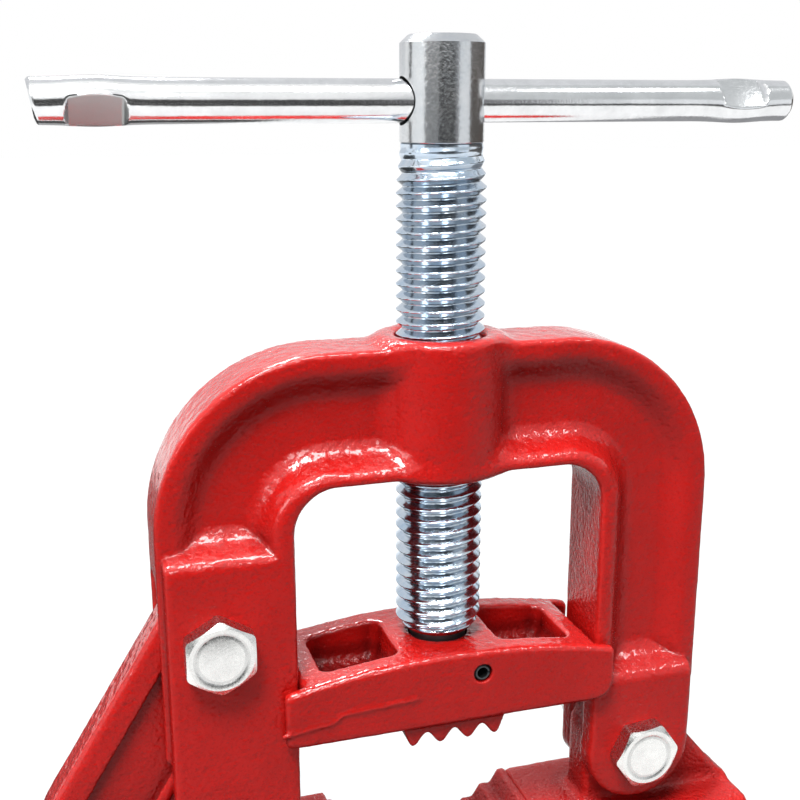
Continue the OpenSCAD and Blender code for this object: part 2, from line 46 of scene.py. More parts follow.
# Sizes in millimetres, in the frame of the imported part

# Yoke
YOKE_HALF_W = 79.5
CROWN_Z = 224.0
OUTER_R = 45.5
WINDOW_HALF_W = 44.0
WINDOW_Z = 189.0
INNER_R = 12.0
WINDOW_DRAFT = 0.125
RIM_Y = 10.0
WEB_Y = 5.5
OUTER_RIM_W = 7.0
OUTER_RIM_DRAFT = 0.7
RAIL_W = 4.8
BROW_H = 3.0
RAIL_DRAFT = 0.6
ARCH_END_Z = 114.0
BOSS_R = 17.5
BOSS_LOW_Z = 187.5
BOSS_TOP_Z = 226.0
BOSS_FILLET = 4.0
FORK_Y = 14.0
SLOT_Y = 6.5
LEFT_PLATE_X = 78.0
LEG_FOOT_Z = 80.0
LEFT_STEP_Z = 172.0
RIGHT_STEP_Z = 121.5
STEP_RISE = 4.8
BACK_INSET = 3.5
LEFT_SLOT_Z = 165.0
RIGHT_SLOT_Z = 125.5
HINGE_X = 60.3
HINGE_Z = 97.0
EYE_R = 16.6
LATCH_X = -65.0
LATCH_Z = 148.0
PIVOT_HOLE_R = 6.2
SCREW_HOLE_R = 12.35
WEB_INSET = 3.0
LEFT_SLOT_WALL = 8.0
RIGHT_SLOT_PAST = 2.0

# Roundings and fillets of the yoke
WEB_ROUND = 1.0
RIM_ROUND = 1.3
RIM_WALL_ROUND = 3.0
RIM_FILLET = 3.4
RAIL_ROUND = 1.2
RAIL_WALL_ROUND = 1.7
RAIL_FILLET = 3.2
RAMP_ROUND = 1.9
RAMP_FILLET = 3.2
PLATE_ROUND = 1.4
PLATE_FOOT_ROUND = 2.0
BACK_INSET_ROUND = 1.5
ARCH_END_ROUND = 2.0
BOSS_ROUND = 2.0
SLOT_END_ROUND = 3.0
SLOT_EDGE_ROUND = 1.0
PIVOT_HOLE_ROUND = 0.6
SCREW_HOLE_ROUND = 1.2

# Base and lower jaw
FOOT_L = 240.0
FOOT_W = 116.0
FOOT_T = 12.0
FOOT_R = 18.0
BENCH_X = 100.0
BENCH_Y = 40.0
BENCH_HOLE_R = 5.5
BODY_Y = 20.0
BED_Z = 44.0
SHOULDER_Z = 79.7
WING_Z = 76.4
WING_X = 96.0
WALL_X = 75.5
NOSE_X = 86.0
NOSE_Y = 9.2
HOOK_R = 83.6
LUG_R = 14.0
TONGUE_Y = 6.2
RIB_X = 65.5
RIB_T = 10.0
RIB_REACH = 50.0
V_HALF_W = 30.0
V_APEX_Z = 56.4
V_TEETH = 4
V_TOOTH_H = 2.4
V_TOOTH_AT = (0.15, 0.6)
V_SIDE_GAP = 0.1
V_SKIN = 0.01
JAW_BOLT_X = 18.0
JAW_BOLT_HOLE_R = 4.2
JAW_BOLT_TAP_R = 4.1
JAW_BOLT_COVER = 2.0
JAW_BOLT_WELL_R = 9.75
JAW_BOLT_SEAT_Z = 22.0
ROOT_SINK = 1.0
WING_END = (8.0, 16.0)
BODY_SPREAD = 11.0
RIB_TOE = 2.0
RIB_DROP = 14.0
LUG_SINK = 6.0
HOOK_GAP = 0.6
NOSE_SINK = 4.0
NOSE_H = 30.0
BORE_GAP = 0.1

# Roundings and fillets of the base and lower jaw
FOOT_ROUND = 2.6
FOOT_FILLET = 7.0
BODY_ROUND = 3.0
RIB_ROUND = 2.4
RIB_FILLET = 5.0
LUG_ROUND = 1.0
LUG_FILLET = 3.0
NOSE_TIP_ROUND = 2.0
NOSE_SIDE_ROUND = 1.6
BENCH_HOLE_ROUND = 1.0
JAW_WELL_ROUND = 1.0
LOWER_JAW_ROUND = 1.6
BORE_ROUND = 0.5

# Latch
LATCH_EYE_R = 15.5
LATCH_LEAN = math.radians(32)
LATCH_REACH = 49.5
ARM_IN = 13.5
THROAT_IN = 7.0
THROAT_R = 62.0
CLAW_R = 102.0
CLAW_FROM = math.radians(15)
CLAW_TO = math.radians(47)
LATCH_RIM_OUT = 8.5
LATCH_RIM_IN = 5.0
LATCH_SINK = 2.4
PANEL_TOP = 5.0
THROAT_END_ROUND = 4.0
THROAT_EDGE_ROUND = 2.0
CLAW_ROUND = 1.5
CLAW_FILLET = 3.0
CLAW_TIP_ROUND = 3.0
REACH_ROUND = 4.0
LATCH_ROUND = 2.4
PANEL_ROUND = 3.0
SINK_ROUND = 1.2

# Upper jaw
JAW_Y = 18.0
JAW_HALF_L = 48.5
JAW_LOW_Z = 117.7
JAW_END_Z = 133.7
JAW_TOP_Z = 139.0
JAW_BODY_X = 43.5
LIP_Y = 14.5
POCKET_X = (16.0, 36.0)
POCKET_Y = 10.0
POCKET_FLOOR_Z = 126.7
TOOTH_PITCH = 8.2
TEETH = 4
TOOTH_PAD_H = 6.3
TOOTH_ROOT = 2.6
TOOTH_STEEP = 0.65
JAW_LOW_R = (2.2, 6.0)
JAW_TOP_R = 1.6
JAW_EDGE_R = 1.7
JAW_SEAM = ((-49, 122.3), (-42, 123.6), (-36, 124.2), (-33, 126.2), (-24, 126.8), (-12, 127.6))
SEAM_R = 0.75
SEAM_SINK = 0.3
SEAM_FILLET = 0.4
POCKET_CORNER_R = 2.2
POCKET_DRAFT = 0.1
POCKET_BUMP = 0.2
POCKET_WAVES = (2.1, 0.7, 1.7, 0.4)
POCKET_FLOOR_ROUND = 3.5
POCKET_EDGE_ROUND = 1.1
PAD_Y = 16.0
PAD_SINK = 4.0
PAD_ROUND = 1.0
TOOTH_OVER = 1.0
NOTCH_ROUND = 1.6
SPIGOT_R = 8.0
SPIGOT_GAP = 0.3
SOCKET_FLOOR = 4.5
SOCKET_EDGE_ROUND = 0.8
PIN_X = 7.4
PIN_Y = 17.4
PIN_Z = 132.1
PIN_R = 2.5
PIN_WALL = 0.9
PIN_SLIT = 0.35
PIN_TAPER = (0.5, 0.6)
PIN_SEGMENTS = 40
PIN_HOLE_ROUND = 0.4

# Screw and handle
CREST_R = 12.0
THREAD_H = 1.72
PITCH = 3.4
THREAD_LOW_Z = 141.0
THREAD_START_Z = 143.6
HEAD_LOW_Z = 275.6
HEAD_TOP_Z = 302.6
HEAD_R = 11.0
HANDLE_Z = 286.3
HANDLE_R = 5.5
HANDLE_HALF_L = 102.0
HEAD_CHAMFER = 2.1
HEAD_EDGE = (0.3, 0.15)
HEAD_FOOT_BEVEL = 0.5
HEAD_SEGMENTS = 96
HOLE_R = 6.1
HOLE_SEGMENTS = 64
SPIGOT_END = 4.8
SPIGOT_BEVEL = 1.0
SPIGOT_OVERLAP = 0.5
RUN_OUT = 11.0
RUN_OUT_STEP = 0.2
PRESS_X = 86.5
PRESS_HALF_L = 7.5
PRESS_DEPTH = 2.1
PRESS_WALL = 1.3
PRESS_SAG = 0.18
PRESS_CROWN = 0.06
PRESS_EDGE = 0.3
SWELL_L = 7.5
SWELL = 0.14
PRESS_LEFT = math.radians(-41)
PRESS_RIGHT = math.radians(38)
END_SKEW = 0.16
END_SKEW_L = 8.0
END_BEVEL = 0.7
END_BEVEL_STEEP = 0.9
BAR_END_L = 30.0
BAR_END_STATIONS = 76
BAR_MIDDLE_X = 70.0
BAR_MIDDLE_STATIONS = 36
BAR_SEGMENTS = 72

# Rolled thread: places along one pitch, and the chamfer of its low end
THREAD_PHASE = 0.15
THREAD_CREST = 0.04
THREAD_FLANK = 0.42
THREAD_END_DEPTH = 0.6
THREAD_END_STEEP = 0.8
THREAD_SEGMENTS = 84
THREAD_ROWS = 18

# Bolts
BOLT_R = 6.0
HEX_AF = 18.0
HEX_H = 5.5
WASHER_T = 2.0
NUT_H = 9.0
RING_H = 2.5
HEX_BEVEL = 0.5
HEX_SLOPE = math.radians(30)
HEX_CORNER_CUT = 0.25
HEX_SEGMENTS = 96
BOLT_PITCH = 1.75
BOLT_THREAD_H = 1.0
BOLT_TIP_L = 1.5
BOLT_RUN_OUT = 2.0
BOLT_RUN_OUT_STEP = 0.5
SHANK_PAST = 1.0
OVERLAP = 0.1
FIT = 0.05
WASHER_GAP = 0.2
WASHER_R = HEX_AF * 0.62
WASHER_BEVEL = 0.35
RING_SEGMENTS = 64
LIP_R = HEX_AF * 0.47
CUP_R = HEX_AF * 0.42
LIP_SINK = 0.3
LIP_BEVEL = 0.6
RING_SINK = 0.5
RING_BEVEL = 0.4
DISH_OUT = 0.41
DISH_LOW = 0.375
DISH_IN = 0.33
DISH_DEPTH = 0.3
HINGE_SPIN = math.radians(5)
LATCH_SPIN = math.radians(30)
NUT_SPIN = math.radians(12)
JAW_BOLT_AF = 13.0
JAW_BOLT_HEAD_H = 5.28
JAW_BOLT_BEVEL = 0.4
JAW_BOLT_R = 4.0
JAW_BOLT_L = 33.0
JAW_BOLT_TIP = 0.6
JAW_BOLT_SEGMENTS = 48
JAW_BOLT_SPIN = 0.2
JAW_WASHER_R = 8.84
JAW_WASHER_T = 1.6
JAW_WASHER_BEVEL = 0.3
JAW_HEAD_Z = JAW_BOLT_SEAT_Z - JAW_WASHER_T

# Skin of a casting: waves of the sand, a finer one with its share and what upward faces add
WAVE_H = 0.08
WAVE_SIZE = 5.0
FINE_WAVE = 2.7
FINE_WAVE_SHARE = 0.5
FINE_WAVE_UPWARD = 1.1

# How far that skin looks for other skin round it, what counts as sheltered or upward, and the painted shade
# added on undersides and in the jaw's pockets
SHELTER_REACH = (2.5, 6.0, 12.0)
UNDERSIDE_SHADE = 0.55
UNDERSIDE_STEEP = 1.2
POCKET_SHADE = 0.3
POCKET_NEAR = 0.8
POCKET_FADE = 2.0
UPWARD_FROM = 0.12
UPWARD_OVER = 0.3

# Painted shade on the plate: the downward flanks of the thread, and the sides and groove of a bolt head
FLANK_SHADE_STEEP = 2.0
FLANK_SHADE_FROM = 0.3
SIDE_SHADE = 0.6
GROOVE_SHADE = 0.35
SIDE_FACING = 0.3

# Colours, linear
RED = (0.60, 0.011, 0.009)
RED_DEEP = (0.50, 0.009, 0.007)
RED_SHADOW = (0.12, 0.004, 0.004)
RED_BRIGHT = (0.78, 0.03, 0.024)
ZINC = (0.74, 0.75, 0.76)
ZINC_CLOUD = (0.62, 0.65, 0.68)
BAR_ZINC = (0.88, 0.89, 0.9)
THREAD_ZINC = (0.76, 0.82, 0.88)
THREAD_BLUE = (0.52, 0.66, 0.82)
BOLT_ZINC = (0.88, 0.88, 0.86)
BOLT_CLOUD = (0.70, 0.70, 0.69)
PRESSED_GREY = (0.4, 0.41, 0.41)
ZINC_DARK = (0.12, 0.13, 0.14)
BLACK = (0.012, 0.012, 0.013)
BLACK_WORN = (0.05, 0.05, 0.05)
NYLON = (0.04, 0.09, 0.34)
NYLON_PALE = (0.08, 0.15, 0.45)
WHITE = (1, 1, 1)

# Cast skin: finer grain and slow swell as multiples of its grain, and their shares
FINE_GRAIN = 2.6
FINE_GRAIN_SHARE = 0.45
SWELL_GRAIN = 0.28
SWELL_GRAIN_SHARE = 0.9
SHADE_GRAIN = 45.0
PIT_RANGE = (0.1, 0.45)

# Where a noise runs from low to high, and how sharp a bend is an edge or a hollow
NOISE_RANGE = (0.3, 0.7)
FLAT_BEND = 0.5
EDGE_BEND = (0.015, 0.09)
HOLLOW_BEND = (-0.012, -0.09)

# Zinc spangle
CLOUD_GRAIN = 140.0
PLATE_GRAIN = 1500.0
DRAW_LINES = (60.0, 900.0, 900.0)

# Red paint
PAINT_PIT = 0.5
PAINT_BEND = 2.0
SPECK_RANGE = (0.56, 0.74)
SPECK_SHARE = (0.0, 0.4)
# Painted shade: how much hollows and sheltered places darken towards RED_SHADOW
HOLLOW_SHADE_SHARE = 0.5
SHADOW_GAIN = 1.3
SHADOW_MOST = 0.92
# Painted highlight: how much raised edges lighten towards RED_BRIGHT
EDGE_HIGHLIGHT_SHARE = 0.35
PAINT_ROUGH = (0.14, 0.28)
PAINT_BUMP = 0.0004
PAINT_IOR = 1.28
COAT_ROUGH = 0.06
COAT_SHELTER = 0.3
COAT_LUMP_GRAIN = 300.0
COAT_LUMP_RELIEF = 0.8
COAT_LUMP_BUMP = 0.0006

# Plate, black oxide and nylon
PLATE_BUMP = 0.0001
# Painted shade in the plate's hollows
PLATE_HOLLOW_SHADE = 0.5
# Painted shade where a piece marks the plate
PLATE_SHADE_SHARE = 0.6
PRESSED_DULL = 0.25
OXIDE_STRETCH = 0.4
OXIDE_RUB = 0.5
OXIDE_METAL = 0.7
OXIDE_ROUGH = (0.3, 0.5)
NYLON_GRAIN = 1400.0
NYLON_PIT = 0.1
NYLON_ROUGH = (0.35, 0.5)
SMALL_RELIEF = 0.15

# Grids of the castings: low and high corner, and step
GRID_MARGIN = 4
YOKE_GRID = ((-80, -20, 79), (80, 20, 229), 0.8)
BASE_GRID = ((-121, -59, -1), (121, 59, 112), 1.2)
LOWER_JAW_GRID = ((-31, -21, 43), (31, 21, 78), 0.7)
LATCH_GRID = ((-116, -7, 44), (-48, 7, 165), 0.6)
UPPER_JAW_GRID = ((-50, -19, 110), (50, 19, 141), 0.55)

# White floor and room: lengths in metres, glow, grey and light on the object
FLOOR_HALF = 6.0
FLOOR_GLOW = (0.8, 0.96)
FLOOR_GLOW_AT = (0.4, 1.6)
FLOOR_GREY = 0.2
ROOM_LIGHT = 0.07

# Lamps: place, what each is aimed at, width and height in metres, power, and whether gloss shows it
LAMPS = (
    ("key", (-0.4, -0.52, 1.3), (0, 0, 0.18), 0.4, 0.4, 18, True),
    ("fill", (-0.15, -1.1, 0.85), (0, 0, 0.15), 0.3, 0.3, 2.4, True),
    ("side", (-0.9, -0.35, 0.6), (0, 0, 0.15), 0.3, 0.3, 1.4, True),
    ("top", (0.0, -0.1, 1.35), (0, 0, 0.2), 0.5, 0.4, 7, False),
    ("back", (-0.1, 0.75, 1.15), (0, 0, 0.15), 0.3, 0.2, 9, True),
)

# Level studio cards, for reflections: left, right, near and far edge and height in metres, colour, strength
MAT_Z = 0.004
PANE_Z = 1.35
LEVEL_CARDS = (
    ("front_mat", -1.6, 1.6, -1.15, -0.58, MAT_Z, (0.02, 0.02, 0.02), 1),
    ("window_light", -0.05, 0.33, -0.8, -0.4, PANE_Z, WHITE, 20),
    ("window_light_right", 0.66, 0.76, -0.8, -0.4, PANE_Z, WHITE, 20),
    ("back_mat", -0.17, 0.02, 0.23, 1.0, MAT_Z, (0.4, 0.4, 0.4), 1),
    ("left_mat", -0.7, -0.17, 0.1, 0.8, MAT_Z, (0.03, 0.03, 0.03), 1),
    ("near_mat", -0.17, 0.02, 0.08, 0.23, MAT_Z, (0.05, 0.05, 0.05), 1),
    ("right_mat", 0.22, 0.8, 0.02, 1.1, MAT_Z, (0.3, 0.3, 0.31), 1),
)

# Bent cards overhead: points of two panels that share an edge, colour
BENT_CARDS = (
    ("back_sky", ((-2.5, 0.05, 1.5), (2.5, 0.05, 1.5), (2.5, 2.4, 0.9), (-2.5, 2.4, 0.9),
                  (2.5, 2.6, 0.35), (-2.5, 2.6, 0.35)), (0.72, 0.73, 0.75)),
    ("right_sky", ((0.45, -1.8, 0.5), (3.5, -1.8, 0.5), (3.5, -0.3, 2.0), (0.6, -0.3, 2.0),
                   (3.5, 0.4, 2.0), (0.6, 0.4, 2.0)), (0.58, 0.6, 0.61)),
)
ONE_PANEL = [(0, 1, 2, 3)]
TWO_PANELS = [(0, 1, 2, 3), (3, 2, 4, 5)]

# Upright cards round the object: angles from the camera's side, top in metres, colour
WALL_R = 1.2
WALL_TURN = math.radians(-19.4)
WALL_FACET = 6
WALL_CARDS = (
    ("card_left_edge", -98, -88, 0.42, (0.06, 0.06, 0.06)),
    ("card_left", -88, -47, 0.42, (1.0, 1.02, 1.03)),
    ("card_front_left", -47, -8, 0.42, (0.25, 0.25, 0.25)),
    ("card_front", -8, 36, 0.42, (0.05, 0.05, 0.05)),
    ("card_front_right", 36, 46, 0.42, (0.2, 0.2, 0.21)),
    ("card_right", 46, 80, 0.42, (0.88, 0.9, 0.92)),
    ("card_far_right", 80, 150, 0.42, (0.09, 0.075, 0.065)),
)

# Camera, as the photograph was taken
CAMERA_AT = (-101.6, -288.1, 286.4)
CAMERA_YAW = math.radians(17.4)
CAMERA_PITCH = math.radians(14.6)
CAMERA_F_PX = 1150
IMAGE_PX = 800
SENSOR = 36.0


# Distance fields: negative inside, in millimetres

def space(lo, hi, step):
    """Grid coordinates that cover a box with a margin."""
    margin = GRID_MARGIN * step
    axes = [np.arange(a - margin, b + margin, step, dtype=np.float32) for a, b in zip(lo, hi)]
    return np.meshgrid(*axes, indexing="ij", sparse=True)


def across(a, b):
    return np.sqrt(a * a + b * b)


def strip(v, low, high):
    return np.abs(v - (low + high) / 2) - (high - low) / 2


def join(a, b, r):
    """Both shapes, with a fillet of radius r where they meet."""
    u = np.maximum(r - a, 0)
    v = np.maximum(r - b, 0)
    return np.maximum(r, np.minimum(a, b)) - np.sqrt(u * u + v * v)


def common(a, b, r):
    """What both shapes share, with its edge rounded to radius r."""
    u = np.maximum(r + a, 0)
    v = np.maximum(r + b, 0)
    return np.minimum(-r, np.maximum(a, b)) + np.sqrt(u * u + v * v)


def carve(a, b, r):
    """The first shape without the second, with a rounded edge."""
    return common(a, -b, r)


def round_corner(p, q, r):
    """Outline with one round corner, from the distances past the start of its arc."""
    return np.minimum(np.maximum(p, q), 0) + across(np.maximum(p, 0), np.maximum(q, 0)) - r


def arch(x, z, half_w, top, r):
    """Upright outline with a flat top and two round corners, open below."""
    return round_corner(np.abs(x) - (half_w - r), z - (top - r), r)


def rounded_rect(x, y, half_x, half_y, r):
    return round_corner(np.abs(x) - (half_x - r), np.abs(y) - (half_y - r), r)


def from_edge(x, z, start, end):
    """Squared distance from the straight line between two points."""
    (ax, az), (bx, bz) = start, end
    ex, ez = bx - ax, bz - az
    t = np.clip(((x - ax) * ex + (z - az) * ez) / (ex * ex + ez * ez), 0, 1)
    return (x - ax - ex * t) ** 2 + (z - az - ez * t) ** 2


def trail(x, z, points):
    """Distance from a line through points."""
    nearest = np.full(np.broadcast(x, z).shape, FAR, np.float32)
    for start, end in zip(points, points[1:]):
        nearest = np.minimum(nearest, from_edge(x, z, start, end))
    return np.sqrt(nearest)


def polygon(x, z, points):
    """Distance from a closed outline, negative inside it."""
    closed = points + points[:1]
    inside = np.zeros(np.broadcast(x, z).shape, bool)
    for (ax, az), (bx, bz) in zip(closed, closed[1:]):
        if bz != az:
            inside ^= ((az <= z) != (bz <= z)) & (x < ax + (bx - ax) * (z - az) / (bz - az))
    return np.where(inside, -1, 1) * trail(x, z, closed)


def flip(points):
    return [(-x, z) for x, z in reversed(points)]


def step_ramp(depth, z, step_z):
    """Slope that leads from a fork plate's face back to the web."""
    run = FORK_Y - WEB_Y
    return ((depth - FORK_Y) * STEP_RISE + (z - step_z) * run) / math.hypot(run, STEP_RISE)


def yoke_field(x, y, z):
    depth = np.abs(y)
    outer = arch(x, z, YOKE_HALF_W, CROWN_Z, OUTER_R)
    wider = WINDOW_DRAFT * np.clip(y + FORK_Y, 0, 2 * FORK_Y) * (x > 0)
    window = arch(x - wider, z, WINDOW_HALF_W, WINDOW_Z, INNER_R)
    inside = np.maximum(outer, -window)
    web = common(inside + WEB_INSET, depth - WEB_Y, WEB_ROUND)
    rim_wall = -outer - OUTER_RIM_W - OUTER_RIM_DRAFT * (RIM_Y - depth)
    rim = common(common(outer, depth - RIM_Y, RIM_ROUND), rim_wall, RIM_WALL_ROUND)
    rail_edge = arch(x - wider, z, WINDOW_HALF_W + RAIL_W, WINDOW_Z + BROW_H, INNER_R + BROW_H)
    rail_wall = rail_edge - RAIL_DRAFT * (FORK_Y - depth)
    rail = common(common(-window, depth - FORK_Y, RAIL_ROUND), rail_wall, RAIL_WALL_ROUND)
    left = common(depth - FORK_Y, step_ramp(depth, z, LEFT_STEP_Z), RAMP_ROUND)
    left = common(left, LEG_FOOT_Z - z, PLATE_FOOT_ROUND)
    left = common(left, strip(x, -LEFT_PLATE_X, -WINDOW_HALF_W), PLATE_ROUND)
    eye = across(x - HINGE_X, z - HINGE_Z) - EYE_R
    leg = np.maximum(strip(x, WINDOW_HALF_W, HINGE_X + EYE_R), HINGE_Z - z)
    right = common(depth - FORK_Y, step_ramp(depth, z, RIGHT_STEP_Z), RAMP_ROUND)
    right = common(right, np.minimum(eye, leg), PLATE_ROUND)
    back_space = np.maximum(np.maximum(x - WINDOW_HALF_W - BACK_INSET, SLOT_Y - y), z - RIGHT_STEP_Z)
    plates = np.minimum(left, carve(right, back_space, BACK_INSET_ROUND))
    body = join(join(web, rim, RIM_FILLET), rail, RAIL_FILLET)
    body = common(body, ARCH_END_Z - z, ARCH_END_ROUND)
    body = np.minimum(body, join(np.maximum(web, ARCH_END_Z - z), plates, RAMP_FILLET))
    boss = join(body, across(x, y) - BOSS_R, BOSS_FILLET)
    body = np.minimum(body, common(boss, strip(z, BOSS_LOW_Z, BOSS_TOP_Z), BOSS_ROUND))
    left_slot = common(depth - SLOT_Y, z - LEFT_SLOT_Z, SLOT_END_ROUND)
    body = carve(body, np.maximum(left_slot, x + WINDOW_HALF_W - LEFT_SLOT_WALL), SLOT_EDGE_ROUND)
    right_slot = common(depth - SLOT_Y, z - RIGHT_SLOT_Z, SLOT_END_ROUND)
    body = carve(body, np.maximum(right_slot, WINDOW_HALF_W - RIGHT_SLOT_PAST - x), SLOT_EDGE_ROUND)
    for px, pz in ((LATCH_X, LATCH_Z), (HINGE_X, HINGE_Z)):
        body = carve(body, across(x - px, z - pz) - PIVOT_HOLE_R, PIVOT_HOLE_ROUND)
    return carve(body, across(x, y) - SCREW_HOLE_R, SCREW_HOLE_ROUND)


def base_field(x, y, z):
    depth = np.abs(y)
    foot = rounded_rect(x, y, FOOT_L / 2, FOOT_W / 2, FOOT_R)
    foot = common(foot, strip(z, 0, FOOT_T), FOOT_ROUND)
    root_z = FOOT_T - ROOT_SINK
    end_run, end_fall = WING_END
    outline = [(-WALL_X, root_z), (-WALL_X, SHOULDER_Z), (-V_HALF_W, SHOULDER_Z), (-V_HALF_W, BED_Z),
               (V_HALF_W, BED_Z), (V_HALF_W, WING_Z), (WING_X, WING_Z),
               (WING_X + end_run, WING_Z - end_fall), (WING_X + BODY_SPREAD, root_z)]
    body = common(polygon(x, z, outline), depth - BODY_Y, BODY_ROUND)
    body = join(body, foot, FOOT_FILLET)
    rib = polygon(depth, z, [(0, root_z), (RIB_REACH, root_z), (RIB_REACH, FOOT_T + RIB_TOE),
                             (BODY_Y, WING_Z - RIB_DROP), (0, WING_Z - RIB_DROP)])
    for side in (-RIB_X, RIB_X):
        rib_body = common(rib, strip(x, side - RIB_T / 2, side + RIB_T / 2), RIB_ROUND)
        body = join(body, rib_body, RIB_FILLET)
    run, fall = WING_X - HINGE_X, WING_Z - HINGE_Z
    touch = math.atan2(fall, run) + math.acos(LUG_R / math.hypot(run, fall))
    web_low_z = WING_Z - LUG_SINK
    web = polygon(x, z, [(HINGE_X - LUG_R, HINGE_Z), (HINGE_X - LUG_R, web_low_z), (WING_X, web_low_z),
                         (WING_X, WING_Z), (HINGE_X + LUG_R * math.cos(touch),
                                            HINGE_Z + LUG_R * math.sin(touch)), (HINGE_X, HINGE_Z)])
    lug = np.minimum(across(x - HINGE_X, z - HINGE_Z) - LUG_R, web)
    body = join(body, common(lug, depth - TONGUE_Y, LUG_ROUND), LUG_FILLET)
    hook = across(x - LATCH_X, z - LATCH_Z) - (HOOK_R - HOOK_GAP)
    nose = np.maximum(strip(x, -NOSE_X, -WALL_X + NOSE_SINK), z - SHOULDER_Z)
    nose = np.maximum(common(nose, hook, NOSE_TIP_ROUND), SHOULDER_Z - NOSE_H - z)
    body = np.minimum(body, common(nose, depth - NOSE_Y, NOSE_SIDE_ROUND))
    for sx in (-BENCH_X, BENCH_X):
        for sy in (-BENCH_Y, BENCH_Y):
            body = carve(body, across(x - sx, y - sy) - BENCH_HOLE_R, BENCH_HOLE_ROUND)
    for sx in (-JAW_BOLT_X, JAW_BOLT_X):
        away = across(x - sx, y)
        body = carve(body, away - JAW_BOLT_HOLE_R, BORE_ROUND)
        well = common(away - JAW_BOLT_WELL_R, z - JAW_BOLT_SEAT_Z, BORE_ROUND)
        body = carve(body, well, JAW_WELL_ROUND)
    return carve(body, across(x - HINGE_X, z - HINGE_Z) - BOLT_R - BORE_GAP, BORE_ROUND)


def lower_jaw_field(x, y, z):
    run = V_HALF_W / (V_TEETH + 1)
    rise = (WING_Z - V_APEX_Z) / (V_TEETH + 1)
    root, tip = V_TOOTH_AT
    flank = []
    for i in range(1, V_TEETH + 1):
        flank.append((run * (i + root), V_APEX_Z + rise * (i + root) - V_TOOTH_H / 2))
        flank.append((run * (i + tip), V_APEX_Z + rise * (i + tip) + V_TOOTH_H / 2))
    half = V_HALF_W - V_SIDE_GAP
    outline = ([(-half, BED_Z), (-half, WING_Z)] + flip(flank) + [(0, V_APEX_Z)] + flank
               + [(half, WING_Z), (half, BED_Z)])
    jaw = common(polygon(x, z, outline) - V_SKIN, np.abs(y) - BODY_Y, LOWER_JAW_ROUND)
    for sx in (-JAW_BOLT_X, JAW_BOLT_X):
        tap = common(across(x - sx, y) - JAW_BOLT_TAP_R, z - V_APEX_Z + JAW_BOLT_COVER, BORE_ROUND)
        jaw = carve(jaw, tap, BORE_ROUND)
    return jaw


def latch_field(x, y, z):
    px, pz = x - LATCH_X, z - LATCH_Z
    lean_c, lean_s = math.cos(LATCH_LEAN), math.sin(LATCH_LEAN)
    side = px * lean_c - pz * lean_s
    along = px * lean_s + pz * lean_c
    r = across(px, pz)
    arm = np.maximum(strip(side, -LATCH_EYE_R, ARM_IN), along)
    throat = common(THROAT_IN - side, THROAT_R - r, THROAT_END_ROUND)
    arm = carve(arm, throat, THROAT_EDGE_ROUND)
    claw = np.maximum(px * math.cos(CLAW_FROM) - pz * math.sin(CLAW_FROM),
                      pz * math.sin(CLAW_TO) - px * math.cos(CLAW_TO))
    claw = common(claw, HOOK_R - r, CLAW_ROUND)
    limb = join(arm, claw, CLAW_FILLET)
    limb = common(common(limb, -LATCH_REACH - px, REACH_ROUND), r - CLAW_R, CLAW_TIP_ROUND)
    outline = np.minimum(limb, r - LATCH_EYE_R)
    body = common(outline, np.abs(y) - TONGUE_Y, LATCH_ROUND)
    low_side = LATCH_RIM_OUT - LATCH_EYE_R
    top = np.maximum(along + LATCH_EYE_R - PANEL_TOP, LATCH_RIM_OUT - LATCH_REACH - px)
    wide = np.maximum(strip(side, low_side, ARM_IN - LATCH_RIM_IN), -THROAT_R + LATCH_RIM_IN - along)
    slim = np.maximum(strip(side, low_side, THROAT_IN - LATCH_RIM_IN), -HOOK_R + LATCH_RIM_IN - along)
    panel = common(np.minimum(wide, slim), top, PANEL_ROUND)
    sink = common(panel + np.abs(y) - TONGUE_Y, TONGUE_Y - LATCH_SINK - np.abs(y), SINK_ROUND)
    body = carve(body, sink, SINK_ROUND)
    return carve(body, r - BOLT_R - BORE_GAP, BORE_ROUND)


def pocket_outline(x, y):
    """Distance from the rim of the nearer pocket of the upper jaw, seen from above."""
    low_x, high_x = POCKET_X
    mid = (low_x + high_x) / 2
    return rounded_rect(np.abs(x) - mid, y, (high_x - low_x) / 2, POCKET_Y, POCKET_CORNER_R)


